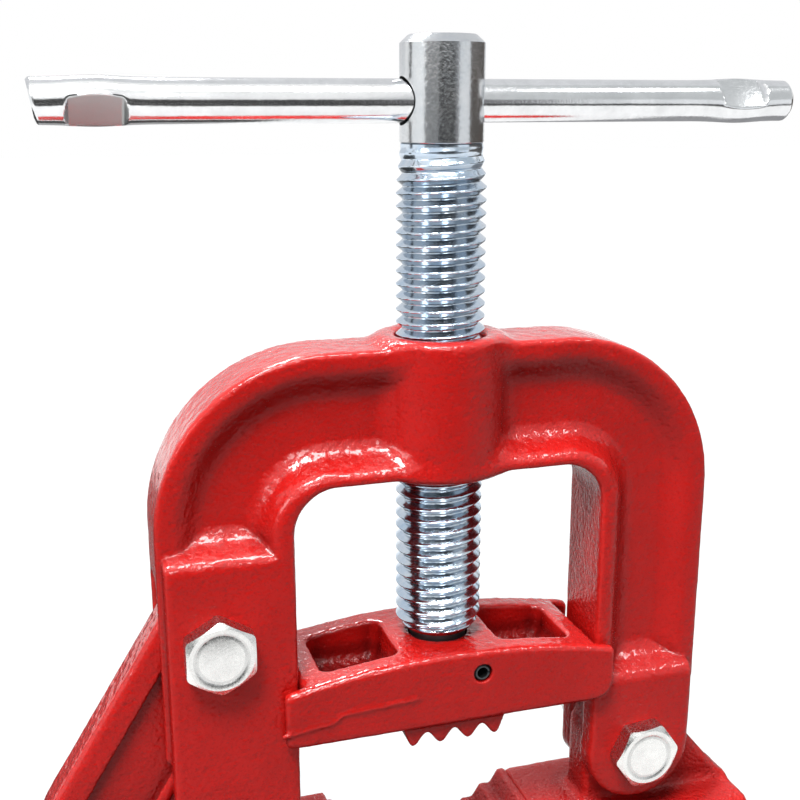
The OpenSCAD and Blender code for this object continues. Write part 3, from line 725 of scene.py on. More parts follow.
def upper_jaw_field(x, y, z):
    depth = np.abs(y)
    crown = JAW_TOP_Z - JAW_END_Z
    crown_r = (JAW_HALF_L ** 2 + crown ** 2) / (2 * crown)
    top = across(x, z - JAW_TOP_Z + crown_r) - crown_r
    low_r = np.where(x < 0, *JAW_LOW_R)
    ends = common(common(np.abs(x) - JAW_HALF_L, JAW_LOW_Z - z, low_r), top, JAW_TOP_R)
    body = common(ends, depth - JAW_Y, JAW_EDGE_R)
    pad_half = TEETH * TOOTH_PITCH / 2
    inner = np.abs(x) < pad_half - TOOTH_PITCH / 2
    root_z = np.where(inner, JAW_LOW_Z - TOOTH_ROOT, JAW_LOW_Z + TOOTH_OVER)
    wave = 0.5 - 0.5 * np.cos(2 * math.pi * (x + pad_half) / TOOTH_PITCH)
    edge_z = root_z - (root_z - JAW_LOW_Z + TOOTH_PAD_H) * wave
    teeth = np.maximum((edge_z - z) * TOOTH_STEEP, z - JAW_LOW_Z - PAD_SINK)
    teeth = np.maximum(teeth, np.abs(x) - pad_half)
    body = join(body, common(teeth, depth - PAD_Y, PAD_ROUND), PAD_ROUND)
    seam = across(trail(x, z, JAW_SEAM), y + JAW_Y - SEAM_SINK) - SEAM_R
    body = join(body, seam, SEAM_FILLET)
    notch = np.maximum(JAW_BODY_X - np.abs(x), depth - LIP_Y)
    body = carve(body, notch, NOTCH_ROUND)
    pocket = pocket_outline(x, y) - POCKET_DRAFT * (z - POCKET_FLOOR_Z)
    a, b, c, d = POCKET_WAVES
    floor_z = POCKET_FLOOR_Z + POCKET_BUMP * np.sin(a * x + b * y) * np.sin(c * y - d * x)
    body = carve(body, common(pocket, floor_z - z, POCKET_FLOOR_ROUND), POCKET_EDGE_ROUND)
    socket = common(across(x, y) - SPIGOT_R - SPIGOT_GAP, JAW_LOW_Z + SOCKET_FLOOR - z, BORE_ROUND)
    body = carve(body, socket, SOCKET_EDGE_ROUND)
    return carve(body, across(x - PIN_X, z - PIN_Z) - PIN_R - BORE_GAP, PIN_HOLE_ROUND)


# Meshes

def add_mesh(name, points, faces, smooth_angle=None):
    """Mesh object from points in millimetres. Edges sharper than smooth_angle stay crisp."""
    mesh = bpy.data.meshes.new(name)
    mesh.from_pydata([tuple(p) for p in np.asarray(points, float) * MM], [], faces)
    mesh.validate()
    mesh.shade_smooth()
    if smooth_angle is not None:
        mesh.set_sharp_from_angle(angle=math.radians(smooth_angle))
    obj = bpy.data.objects.new(name, mesh)
    bpy.context.scene.collection.objects.link(obj)
    return obj


def cast_waves(points, normals):
    """Uneven skin of a sand casting: a slow swell, and a finer one that is strongest on upward faces."""
    moved = np.empty_like(points)
    for i, (p, n) in enumerate(zip(points, normals)):
        at = Vector(p) / WAVE_SIZE
        share = FINE_WAVE_SHARE + FINE_WAVE_UPWARD * max(0, n[2])
        swell = noise.noise(at) + share * noise.noise(at * FINE_WAVE)
        moved[i] = p + n * WAVE_H * swell
    return moved


def vertex_normals(points, quads):
    corners = points[quads]
    flat = np.cross(corners[:, 2] - corners[:, 0], corners[:, 3] - corners[:, 1])
    normals = np.zeros_like(points)
    for k in range(4):
        np.add.at(normals, quads[:, k], flat)
    return normals / np.maximum(np.linalg.norm(normals, axis=1, keepdims=True), 1e-9)


def sheltered(field, points, normals):
    """How enclosed each point of a skin is: 0 in the open, 1 deep in a hollow."""
    total = np.zeros(len(points))
    for reach in SHELTER_REACH:
        x, y, z = (points + normals * reach).T
        total += np.clip(1 - field(x, y, z) / reach, 0, 1)
    return total / len(SHELTER_REACH)


def mark(piece, name, values, where="POINT"):
    """Stores one number per point or face of a piece, for its finish to read."""
    piece.data.attributes.new(name, "FLOAT", where).data.foreach_set("value", values)


def jaw_pocket_shade(x, y, z):
    """Painted shade inside the two pockets of the upper jaw."""
    within = pocket_outline(x, y) < POCKET_NEAR
    return POCKET_SHADE * within * np.clip((JAW_END_Z - z) / POCKET_FADE, 0, 1)


def pour(name, field, lo, hi, step, nooks=None):
    """Casting whose skin is the zero level of a distance field. Its painted shade is how sheltered each point
    is, with nooks and undersides added.
    """
    x, y, z = space(lo, hi, step)
    grid = openvdb.FloatGrid(OUTSIDE)
    grid.copyFromArray(np.ascontiguousarray(field(x, y, z), np.float32))
    at, quads = grid.convertToQuads(isovalue=0.0)
    corner = np.array([x.flat[0], y.flat[0], z.flat[0]])
    points = np.asarray(at, float) * step + corner
    quads = np.asarray(quads, int)
    normals = vertex_normals(points, quads)
    if np.einsum("ij,ij->", normals, points - points.mean(0)) < 0:
        quads = quads[:, ::-1]
        normals = -normals
    painted_shade = sheltered(field, points, normals)
    if nooks:
        painted_shade = painted_shade + nooks(*points.T)
    piece = add_mesh(name, cast_waves(points, normals), quads.tolist())
    up = normals[:, 2]
    underside = np.clip(-UNDERSIDE_STEEP * up, 0, 1)
    # Painted shade for the paint: sheltered places, nooks and undersides are stored darker
    mark(piece, "painted_shade", np.clip(painted_shade + UNDERSIDE_SHADE * underside, 0, 1))
    mark(piece, "upward", np.clip((up - UPWARD_FROM) / UPWARD_OVER, 0, 1))
    return piece


def loft(rings, closed_ends=True):
    """Points and faces of a skin over rings that all have the same number of points."""
    count = len(rings[0])
    points = np.concatenate([np.asarray(r, float) for r in rings])
    faces = []
    for k in range(len(rings) - 1):
        low, high = k * count, (k + 1) * count
        for i in range(count):
            j = (i + 1) % count
            faces.append((low + i, low + j, high + j, high + i))
    if closed_ends:
        last = (len(rings) - 1) * count
        faces.append(tuple(range(count))[::-1])
        faces.append(tuple(range(last, last + count)))
    return points, faces


def around(r, z, turn):
    """Ring of points about Z, at the angles in turn."""
    return np.stack([r * np.cos(turn), r * np.sin(turn), z + 0 * turn], axis=1)


def circle(r, z, segments):
    return around(r, z, np.arange(segments) * 2 * math.pi / segments)


def together(*skins):
    """One skin from several."""
    points, faces, start = [], [], 0
    for at, quads in skins:
        points.append(at)
        faces += [tuple(start + i for i in f) for f in quads]
        start += len(at)
    return np.concatenate(points), faces


def turned(profile, segments=72):
    """Round solid about Z from (radius, height) points, lowest first."""
    return loft([circle(r, z, segments) for r, z in profile])


def washer(hole_r, outer_r, low, high, bevel):
    """Flat ring about Z with broken edges."""
    profile = [(hole_r, low), (outer_r - bevel, low), (outer_r, low + bevel), (outer_r, high - bevel),
               (outer_r - bevel, high), (hole_r, high), (hole_r, low)]
    return loft([circle(r, z, RING_SEGMENTS) for r, z in profile], closed_ends=False)


def threaded(root_r, crest_r, pitch, low, high, start, end_r, run_out):
    """Right-hand rolled thread about Z: narrow rounded crests and wide roots.
    The low end is chamfered, and the high end runs out to end_r."""
    turn = np.arange(THREAD_SEGMENTS) / THREAD_SEGMENTS
    rings = []
    for z in np.linspace(low, high, int((high - low) / pitch * THREAD_ROWS) + 1):
        away = np.abs(((z - start) / pitch - turn - THREAD_PHASE) % 1 - 0.5)
        ridge = 1 - np.clip((away - THREAD_CREST) / THREAD_FLANK, 0, 1)
        r = root_r + (crest_r - root_r) * ridge
        r = np.minimum(r, root_r - THREAD_END_DEPTH + THREAD_END_STEEP * (z - low))
        r = end_r + (r - end_r) * np.clip((high - z) / run_out, 0, 1)
        rings.append(around(r, z, turn * 2 * math.pi))
    return loft(rings)


def hexagon(af, h, chamfer, hole_r=0.0, underside=False, dished=False):
    """Hex head or nut about Z, standing on Z = 0, with its top corners chamfered round.
    A dished head has the shallow ring that forging leaves in its face."""
    a = np.arange(HEX_SEGMENTS) * 2 * math.pi / HEX_SEGMENTS
    half = math.pi / 6
    fold = np.abs((a + half) % (2 * half) - half)
    side = np.minimum(af / 2 / np.cos(half - fold), af / 2 / math.cos(half) - HEX_CORNER_CUT)
    face_r = af / 2 - chamfer
    drop = (side - face_r) * math.tan(HEX_SLOPE)
    profile = [(side, drop if underside else 0 * drop), (side, h - drop), (face_r, h)]
    if underside:
        profile.insert(0, (face_r, 0))
    if dished:
        profile += [(af * DISH_OUT, h), (af * DISH_LOW, h - DISH_DEPTH), (af * DISH_IN, h - DISH_DEPTH / 3)]
    if hole_r:
        profile = [(hole_r, 0)] + profile + [(hole_r, h), (hole_r, 0)]
    return loft([around(r, z, a) for r, z in profile], closed_ends=not hole_r)


def facing(skin, place, outward, spin=0.0):
    """Turns a skin made about Z so that its Z points outward along Y or -Z, and moves it to place."""
    points, faces = skin
    c, s = math.cos(spin), math.sin(spin)
    x, y, z = points[:, 0] * c - points[:, 1] * s, points[:, 0] * s + points[:, 1] * c, points[:, 2]
    turned_to = {"front": (x, -z, y), "back": (-x, z, y), "down": (x, -y, -z)}[outward]
    return np.stack(turned_to, axis=1) + np.asarray(place, float), faces


# Pieces

def clamp_screw():
    spigot_z = JAW_LOW_Z + SPIGOT_END
    neck = turned([(SPIGOT_R - SPIGOT_BEVEL, spigot_z), (SPIGOT_R, spigot_z + SPIGOT_BEVEL),
                   (SPIGOT_R, THREAD_LOW_Z + SPIGOT_OVERLAP)])
    thread = threaded(CREST_R - THREAD_H, CREST_R, PITCH, THREAD_LOW_Z, HEAD_LOW_Z, THREAD_START_Z,
                      HEAD_R - RUN_OUT_STEP, RUN_OUT)
    face_r = HEAD_R - HEAD_CHAMFER
    edge_in, edge_down = HEAD_EDGE
    head = turned([(HEAD_R - HEAD_FOOT_BEVEL, HEAD_LOW_Z), (HEAD_R, HEAD_LOW_Z + HEAD_FOOT_BEVEL),
                   (HEAD_R, HEAD_TOP_Z - HEAD_CHAMFER), (face_r, HEAD_TOP_Z - edge_down),
                   (face_r - edge_in, HEAD_TOP_Z)], HEAD_SEGMENTS)
    head_piece = add_mesh("screw_head", *head)
    points, faces = turned([(HOLE_R, -2 * HEAD_R), (HOLE_R, 2 * HEAD_R)], HOLE_SEGMENTS)
    across_x = np.stack([points[:, 2], points[:, 1], HANDLE_Z - points[:, 0]], axis=1)
    drilled = cut_out(head_piece, add_mesh("handle_hole", across_x, faces))
    screw = add_mesh("clamp_screw_plated", *together(neck, thread, drilled), smooth_angle=40)
    # Painted shade: the downward flanks of the thread are marked darker
    down = np.array([-v.normal.z if v.co.z < HEAD_LOW_Z * MM else 0 for v in screw.data.vertices])
    mark(screw, "plate_shade", np.clip(FLANK_SHADE_STEEP * down - FLANK_SHADE_FROM, 0, 1))
    return screw


def cut_out(piece, cutter):
    """Skin of a piece after a drill has gone through it, in millimetres."""
    drill = piece.modifiers.new("drill", "BOOLEAN")
    drill.operation = "DIFFERENCE"
    drill.object = cutter
    drill.solver = "EXACT"
    bpy.context.view_layer.update()
    made = piece.evaluated_get(bpy.context.evaluated_depsgraph_get()).to_mesh()
    points = np.array([v.co for v in made.vertices]) / MM
    faces = [tuple(f.vertices) for f in made.polygons]
    for used in (piece, cutter):
        bpy.data.objects.remove(used)
    return points, faces


def pressed(x, centre):
    """How far into a pressed flat of the handle x lies: 1 in its middle, 0 outside it."""
    wall = np.clip((PRESS_HALF_L - abs(x - centre)) / PRESS_WALL, 0, 1)
    sag = 1 - PRESS_SAG * ((x - centre) / PRESS_HALF_L) ** 2
    return wall * wall * (3 - 2 * wall) * sag


def handle_bar():
    fine = np.linspace(0, BAR_END_L, BAR_END_STATIONS)
    middle = np.linspace(-BAR_MIDDLE_X, BAR_MIDDLE_X, BAR_MIDDLE_STATIONS)
    stations = np.concatenate([-HANDLE_HALF_L + fine, middle, HANDLE_HALF_L - fine[::-1]])
    phi = -np.arange(BAR_SEGMENTS) * 2 * math.pi / BAR_SEGMENTS
    rings, flats = [], []
    for x in stations:
        centre, tilt = (-PRESS_X, PRESS_LEFT) if x < 0 else (PRESS_X, PRESS_RIGHT)
        end = HANDLE_HALF_L - abs(x)
        r = HANDLE_R - max(0, END_BEVEL - end) * END_BEVEL_STEEP
        swell = math.exp(-((x - centre) / SWELL_L) ** 2)
        toward = r * np.cos(phi - tilt)
        aside = r * np.sin(phi - tilt) * (1 + SWELL * swell)
        flat = HANDLE_R - PRESS_DEPTH * pressed(x, centre)
        flats.append(np.clip((toward - flat) / PRESS_EDGE, 0, 1) * (x < 0))
        toward = np.where(toward > flat, flat + (toward - flat) * PRESS_CROWN, toward)
        front = toward * math.cos(tilt) - aside * math.sin(tilt)
        up = toward * math.sin(tilt) + aside * math.cos(tilt)
        skew = END_SKEW * (HANDLE_R - up) * np.clip(1 - end / END_SKEW_L, 0, 1) if x < 0 else 0
        rings.append(np.stack([x + skew + 0 * front, -front, HANDLE_Z + up], axis=1))
    bar = add_mesh("handle_bar_plated", *loft(rings), smooth_angle=38)
    mark(bar, "pressed", np.concatenate(flats))
    return bar


def pivot_bolt(name, x, z, spin):
    """Hex bolt through a fork of the yoke, with painted shade on its sides and in the groove in its face."""
    place = (x, -FORK_Y, z)
    head = facing(hexagon(HEX_AF, HEX_H, HEX_BEVEL, dished=True), place, "front", spin)
    shank = facing(turned([(BOLT_R, -OVERLAP), (BOLT_R, 2 * FORK_Y + SHANK_PAST)]), place, "back")
    tip = 2 * FORK_Y + WASHER_T + NUT_H + RING_H + BOLT_TIP_L
    points, faces = threaded(BOLT_R - BOLT_THREAD_H, BOLT_R - FIT, BOLT_PITCH, -tip, -2 * FORK_Y, 0,
                             BOLT_R - BOLT_RUN_OUT_STEP, BOLT_RUN_OUT)
    thread = facing((points * [1, -1, -1], faces), place, "back")
    bolt = add_mesh(name, *together(head, shank, thread), smooth_angle=28)
    # Painted shade on the sides of the head and in the groove of its face
    shade_marks = np.zeros(len(bolt.data.polygons))
    for face in bolt.data.polygons:
        at = face.center / MM
        r = math.hypot(at.x - x, at.z - z) / HEX_AF
        if at.y < -FORK_Y and (abs(face.normal.y) < SIDE_FACING or DISH_IN < r < DISH_OUT):
            shade_marks[face.index] = SIDE_SHADE if r > DISH_OUT else GROOVE_SHADE
    mark(bolt, "plate_shade", shade_marks, "FACE")
    return bolt


def pivot_washer(name, x, z):
    ring = washer(BOLT_R + WASHER_GAP, WASHER_R, 0, WASHER_T, WASHER_BEVEL)
    return add_mesh(name, *facing(ring, (x, FORK_Y, z), "back"), smooth_angle=30)


def pivot_nut(name, x, z):
    body = hexagon(HEX_AF, NUT_H, HEX_BEVEL, BOLT_R + FIT, underside=True)
    lip = washer(CUP_R, LIP_R, NUT_H - LIP_SINK, NUT_H + RING_H, LIP_BEVEL)
    skin = facing(together(body, lip), (x, FORK_Y + WASHER_T, z), "back", NUT_SPIN)
    return add_mesh(name, *skin, smooth_angle=28)


def pivot_ring(name, x, z):
    ring = washer(BOLT_R + FIT, CUP_R - FIT, NUT_H, NUT_H + RING_H - RING_SINK, RING_BEVEL)
    return add_mesh(name, *facing(ring, (x, FORK_Y + WASHER_T, z), "back"), smooth_angle=40)


def jaw_pin():
    """Rolled spring pin: a strip bent round until its edges almost meet."""
    opening = math.asin(PIN_SLIT / PIN_R)
    turn = np.linspace(opening, 2 * math.pi - opening, PIN_SEGMENTS)
    taper, taper_l = PIN_TAPER
    rings = []
    for y, inset in ((-PIN_Y, taper), (-PIN_Y + taper_l, 0), (PIN_Y - taper_l, 0), (PIN_Y, taper)):
        outer = around(PIN_R - inset, y, turn)
        inner = around(PIN_R - PIN_WALL, y, turn[::-1])
        ring = np.concatenate([outer, inner])[::-1, [0, 2, 1]]
        rings.append(ring + (PIN_X, 0, PIN_Z))
    points, faces = loft(rings, closed_ends=False)
    count = len(rings[0])
    for start, order in ((0, -1), (3 * count, 1)):
        for i in range(count // 2 - 1):
            j = count - 1 - i
            faces.append(tuple(start + k for k in (i, i + 1, j - 1, j))[::order])
    return add_mesh("jaw_pin_black", points, faces, smooth_angle=35)


def jaw_bolts():
    head = hexagon(JAW_BOLT_AF, JAW_BOLT_HEAD_H, JAW_BOLT_BEVEL)
    shank = turned([(JAW_BOLT_R - JAW_BOLT_TIP, -JAW_BOLT_L), (JAW_BOLT_R, JAW_BOLT_TIP - JAW_BOLT_L),
                    (JAW_BOLT_R, OVERLAP)], JAW_BOLT_SEGMENTS)
    skins = []
    for x in (-JAW_BOLT_X, JAW_BOLT_X):
        skins.append(facing(head, (x, 0, JAW_HEAD_Z), "down", JAW_BOLT_SPIN))
        skins.append(facing(shank, (x, 0, JAW_HEAD_Z), "down"))
    return add_mesh("lower_jaw_bolts_plated", *together(*skins), smooth_angle=28)


def jaw_washers():
    ring = washer(JAW_BOLT_HOLE_R, JAW_WASHER_R, -JAW_WASHER_T, 0, JAW_WASHER_BEVEL)
    skins = [facing(ring, (x, 0, JAW_HEAD_Z), "down") for x in (-JAW_BOLT_X, JAW_BOLT_X)]
    return add_mesh("lower_jaw_washers_plated", *together(*skins), smooth_angle=30)


# Finishes

def node_group(name, inputs, outputs):
    """Shader node group with named number sockets. Its inputs come with their usual values."""
    group = bpy.data.node_groups.new(name, "ShaderNodeTree")
    for socket, usual in inputs.items():
        made = group.interface.new_socket(socket, in_out="INPUT", socket_type="NodeSocketFloat")
        made.default_value = usual
    for socket in outputs:
        group.interface.new_socket(socket, in_out="OUTPUT", socket_type="NodeSocketFloat")
    return group, group.nodes.new("NodeGroupInput"), group.nodes.new("NodeGroupOutput")


def node(tree, kind, inputs=None, **settings):
    """Adds a node. Inputs are values or the sockets that feed them."""
    made = tree.nodes.new("ShaderNode" + kind)
    for key, value in settings.items():
        setattr(made, key, value)
    for key, value in (inputs or {}).items():
        socket = made.inputs[key]
        if isinstance(value, bpy.types.NodeSocket):
            tree.links.new(value, socket)
        else:
            socket.default_value = value
    return made


def blend_colour(tree, amount, first, second):
    return node(tree, "MixRGB", {"Fac": amount, "Color1": first, "Color2": second}).outputs["Color"]


def reckon(tree, a, b, operation="ADD"):
    """One number from two."""
    return node(tree, "Math", {0: a, 1: b}, operation=operation).outputs[0]


def times(tree, a, b):
    return reckon(tree, a, b, "MULTIPLY")


def mapped(tree, value, given, wanted=(0.0, 1.0)):
    """Carries a value over from one range to another, and no further."""
    ranges = {"From Min": given[0], "From Max": given[1], "To Min": wanted[0], "To Max": wanted[1]}
    return node(tree, "MapRange", {"Value": value, **ranges}).outputs["Result"]


def ramp(tree, value, low, high):
    """Low to high over the range that a noise mostly keeps to."""
    return mapped(tree, value, NOISE_RANGE, (low, high))


def clouds(tree, at, scale, detail, roughness=0.5):
    sizes = {"Scale": scale, "Detail": detail, "Roughness": roughness}
    return node(tree, "TexNoise", {"Vector": at, **sizes}).outputs["Fac"]


def surface_place(tree):
    return node(tree, "TexCoord").outputs["Object"]


def stored(tree, name):
    """Number that a piece carries for its finish."""
    return node(tree, "Attribute", attribute_name=name).outputs["Fac"]


def feed(tree, taker, sources):
    """Links sockets to the named inputs of a shader or of a group's result."""
    for socket, source in sources.items():
        tree.links.new(source, taker.inputs[socket])


def cast_skin_group():
    """Bumps and pits of a painted sand casting, with a slow shade change."""
    group, given, result = node_group("cast skin", {"Grain": 700.0, "Pit": 0.5}, ("Height", "Speckle", "Shade"))
    at = surface_place(group)
    grain = given.outputs["Grain"]
    coarse = clouds(group, at, grain, detail=3.0, roughness=0.6)
    fine = clouds(group, at, times(group, grain, FINE_GRAIN), detail=2.0)
    swell = clouds(group, at, times(group, grain, SWELL_GRAIN), detail=2.0)
    pits = node(group, "TexVoronoi", {"Vector": at, "Scale": grain}, feature="SMOOTH_F1").outputs["Distance"]
    rough = reckon(group, coarse, times(group, fine, FINE_GRAIN_SHARE))
    rough = reckon(group, rough, times(group, swell, SWELL_GRAIN_SHARE))
    pit = times(group, mapped(group, pits, PIT_RANGE), given.outputs["Pit"])
    feed(group, result, {"Height": reckon(group, rough, pit), "Speckle": fine,
                         "Shade": clouds(group, at, SHADE_GRAIN, detail=3.0, roughness=0.55)})
    return group


def corners_group():
    """Masks of raised edges and of hollows, from how sharply the surface bends."""
    group, given, result = node_group("edges and hollows", {"Reach": 1.0}, ("Edge", "Hollow"))
    bend = node(group, "NewGeometry").outputs["Pointiness"]
    bend = times(group, reckon(group, bend, FLAT_BEND, "SUBTRACT"), given.outputs["Reach"])
    feed(group, result, {"Edge": mapped(group, bend, EDGE_BEND), "Hollow": mapped(group, bend, HOLLOW_BEND)})
    return group


def plating_group():
    """Cloudy spangle and fine draw lines of bright zinc plate."""
    group, given, result = node_group("zinc spangle", {"Stretch": 1.0}, ("Height", "Cloud", "Grain"))
    at = surface_place(group)
    grain = clouds(group, at, PLATE_GRAIN, detail=2.0, roughness=0.6)
    drawn = node(group, "Mapping", {"Vector": at, "Scale": DRAW_LINES}).outputs["Vector"]
    lines = times(group, clouds(group, drawn, scale=1.0, detail=2.0), given.outputs["Stretch"])
    feed(group, result, {"Height": reckon(group, grain, lines),
                         "Cloud": clouds(group, at, CLOUD_GRAIN, detail=4.0, roughness=0.65), "Grain": grain})
    return group


CAST_SKIN = cast_skin_group()
CORNERS = corners_group()
PLATING = plating_group()


def finish_tree(name):
    made = bpy.data.materials.new(name)
    made.use_nodes = True
    tree = made.node_tree
    return made, tree, tree.nodes["Principled BSDF"]


def placed(tree, group, **values):
    made = tree.nodes.new("ShaderNodeGroup")
    made.node_tree = group
    for key, value in values.items():
        made.inputs[key].default_value = value
    return made


def bump(tree, height, strength, distance):
    made = node(tree, "Bump", {"Height": height, "Strength": strength, "Distance": distance})
    return made.outputs["Normal"]


def patchy(tree, mask, first, second):
    """Colour that changes over the surface with a noise."""
    return blend_colour(tree, ramp(tree, mask, 0.0, 1.0), (*first, 1), (*second, 1))


def red_paint(name, grain, relief, gloss):
    """Thick red paint on a sand casting, with painted shade in its hollows, sheltered places and undersides and
    a painted highlight on its raised edges; glossiest where it faces up in the open.
    """
    made, tree, shader = finish_tree(name)
    skin = placed(tree, CAST_SKIN, Grain=grain, Pit=PAINT_PIT)
    corners = placed(tree, CORNERS, Reach=PAINT_BEND)
    shade = patchy(tree, skin.outputs["Shade"], RED, RED_DEEP)
    specks = mapped(tree, skin.outputs["Speckle"], SPECK_RANGE, SPECK_SHARE)
    shade = blend_colour(tree, specks, shade, (*RED_SHADOW, 1))
    # Painted shade: darker towards RED_SHADOW in hollows, sheltered places and undersides
    painted_shade = stored(tree, "painted_shade")
    dull = reckon(tree, times(tree, corners.outputs["Hollow"], HOLLOW_SHADE_SHARE), painted_shade, "MAXIMUM")
    deep = mapped(tree, dull, (0.0, 1.0), (0.0, SHADOW_GAIN))
    shade = blend_colour(tree, reckon(tree, deep, SHADOW_MOST, "MINIMUM"), shade, (*RED_SHADOW, 1))
    # Painted highlight: raised edges lighter, towards RED_BRIGHT
    edge_highlight = times(tree, corners.outputs["Edge"], EDGE_HIGHLIGHT_SHARE)
    shade = blend_colour(tree, edge_highlight, shade, (*RED_BRIGHT, 1))
    open_air = mapped(tree, painted_shade, (0.0, COAT_SHELTER), (1.0, 0.0))
    settled = times(tree, stored(tree, "upward"), open_air)
    feed(tree, shader, {"Base Color": shade, "Roughness": ramp(tree, skin.outputs["Speckle"], *PAINT_ROUGH),
                        "Normal": bump(tree, skin.outputs["Height"], relief, PAINT_BUMP),
                        "Coat Weight": times(tree, settled, gloss)})
    shader.inputs["Coat Roughness"].default_value = COAT_ROUGH
    shader.inputs["IOR"].default_value = PAINT_IOR
    return made


def lumpy_coat(finish):
    """Breaks the gloss of a thick coat into dashes, as over the skin of a sand casting."""
    tree = finish.node_tree
    lumps = clouds(tree, surface_place(tree), COAT_LUMP_GRAIN, detail=1.5)
    relief = bump(tree, lumps, COAT_LUMP_RELIEF, COAT_LUMP_BUMP)
    feed(tree, tree.nodes["Principled BSDF"], {"Coat Normal": relief})


def zinc_plate(name, bright, cloud, stretch, relief, rough):
    """Zinc plate with painted shade: darker in its hollows and where a piece marks it. Where a piece was
    pressed flat, it is greyer and duller.
    """
    made, tree, shader = finish_tree(name)
    spangle = placed(tree, PLATING, Stretch=stretch)
    corners = placed(tree, CORNERS)
    tint = patchy(tree, spangle.outputs["Cloud"], bright, cloud)
    # Painted shade: darker in its hollows
    hollow_shade = times(tree, corners.outputs["Hollow"], PLATE_HOLLOW_SHADE)
    tint = blend_colour(tree, hollow_shade, tint, (*ZINC_DARK, 1))
    # Painted shade where a piece marks it
    tint = blend_colour(tree, times(tree, stored(tree, "plate_shade"), PLATE_SHADE_SHARE), tint, (*ZINC_DARK, 1))
    flat = stored(tree, "pressed")
    tint = blend_colour(tree, flat, tint, (*PRESSED_GREY, 1))
    dull = times(tree, flat, PRESSED_DULL)
    feed(tree, shader, {"Base Color": tint,
                        "Roughness": reckon(tree, ramp(tree, spangle.outputs["Grain"], *rough), dull),
                        "Normal": bump(tree, spangle.outputs["Height"], relief, PLATE_BUMP)})
    shader.inputs["Metallic"].default_value = 1.0
    return made


def black_oxide():
    made, tree, shader = finish_tree("black_oxide")
    spangle = placed(tree, PLATING, Stretch=OXIDE_STRETCH)
    corners = placed(tree, CORNERS)
    tint = patchy(tree, spangle.outputs["Cloud"], BLACK, BLACK_WORN)
    rub = times(tree, corners.outputs["Edge"], OXIDE_RUB)
    feed(tree, shader, {"Base Color": blend_colour(tree, rub, tint, (*ZINC_DARK, 1)),
                        "Roughness": ramp(tree, spangle.outputs["Grain"], *OXIDE_ROUGH),
                        "Normal": bump(tree, spangle.outputs["Height"], SMALL_RELIEF, PLATE_BUMP)})
    shader.inputs["Metallic"].default_value = OXIDE_METAL
    return made


def nylon():
    made, tree, shader = finish_tree("nylon_ring")
    skin = placed(tree, CAST_SKIN, Grain=NYLON_GRAIN, Pit=NYLON_PIT)
    feed(tree, shader, {"Base Color": patchy(tree, skin.outputs["Shade"], NYLON, NYLON_PALE),
                        "Roughness": ramp(tree, skin.outputs["Speckle"], *NYLON_ROUGH),
                        "Normal": bump(tree, skin.outputs["Height"], SMALL_RELIEF, PLATE_BUMP)})
    return made


# Stage

def camera():
    data = bpy.data.cameras.new("camera")
    data.sensor_width = SENSOR
    data.lens = SENSOR * CAMERA_F_PX / IMAGE_PX
    data.clip_start = 0.01
    eye = bpy.data.objects.new("camera", data)
    bpy.context.scene.collection.objects.link(eye)
    eye.location = Vector(CAMERA_AT) * MM
    level = math.cos(CAMERA_PITCH)
    look = Vector((math.sin(CAMERA_YAW) * level, math.cos(CAMERA_YAW) * level, -math.sin(CAMERA_PITCH)))
    eye.rotation_mode = "QUATERNION"
    eye.rotation_quaternion = look.to_track_quat("-Z", "Y")
    bpy.context.scene.camera = eye


def softbox(name, place, aim, width, height, power, glossy):
    data = bpy.data.lights.new(name, "AREA")
    data.shape = "RECTANGLE"
    data.size = width
    data.size_y = height
    data.energy = power
    lamp = bpy.data.objects.new(name, data)
    bpy.context.scene.collection.objects.link(lamp)
    lamp.location = place
    lamp.rotation_mode = "QUATERNION"
    lamp.rotation_quaternion = (Vector(aim) - Vector(place)).to_track_quat("-Z", "Y")
    lamp.visible_glossy = glossy


def stage_panel(name, corners, faces):
    mesh = bpy.data.meshes.new(name)
    mesh.from_pydata(corners, [], faces)
    panel = bpy.data.objects.new(name, mesh)
    bpy.context.scene.collection.objects.link(panel)
    return panel


def level_corners(left, right, near, far, z):
    return [(left, near, z), (right, near, z), (right, far, z), (left, far, z)]


def reflection_card(name, corners, faces, colour, strength=1.0):
    """Studio card that only shows in reflections."""
    card = stage_panel(name, corners, faces)
    card.visible_camera = False
    card.visible_diffuse = False
    card.visible_shadow = False
    card.visible_transmission = False
    made, _, shader = finish_tree(name)
    shader.inputs["Base Color"].default_value = (0, 0, 0, 1)
    shader.inputs["Roughness"].default_value = 1.0
    shader.inputs["Emission Color"].default_value = (*colour, 1)
    shader.inputs["Emission Strength"].default_value = strength
    card.data.materials.append(made)


def wall_card(name, start, end, top, colour):
    """Upright curved card round the object. Angles run from the camera's side to the right."""
    toward = np.array([math.sin(WALL_TURN), -math.cos(WALL_TURN)])
    aside = np.array([math.cos(WALL_TURN), math.sin(WALL_TURN)])
    count = max(2, round((end - start) / WALL_FACET))
    corners = []
    for turn in np.radians(np.linspace(start, end, count + 1)):
        at = WALL_R * (math.cos(turn) * toward + math.sin(turn) * aside)
        corners += [(at[0], at[1], 0.0), (at[0], at[1], top)]
    faces = [(2 * i, 2 * i + 2, 2 * i + 3, 2 * i + 1) for i in range(count)]
    reflection_card(name, corners, faces, colour)


def straight_rays(tree):
    """1 for what the eye, a reflection or glass sees, and 0 for light that falls on things."""
    seen = node(tree, "LightPath").outputs
    straight = reckon(tree, seen["Is Camera Ray"], seen["Is Glossy Ray"], "MAXIMUM")
    return reckon(tree, straight, seen["Is Transmission Ray"], "MAXIMUM")


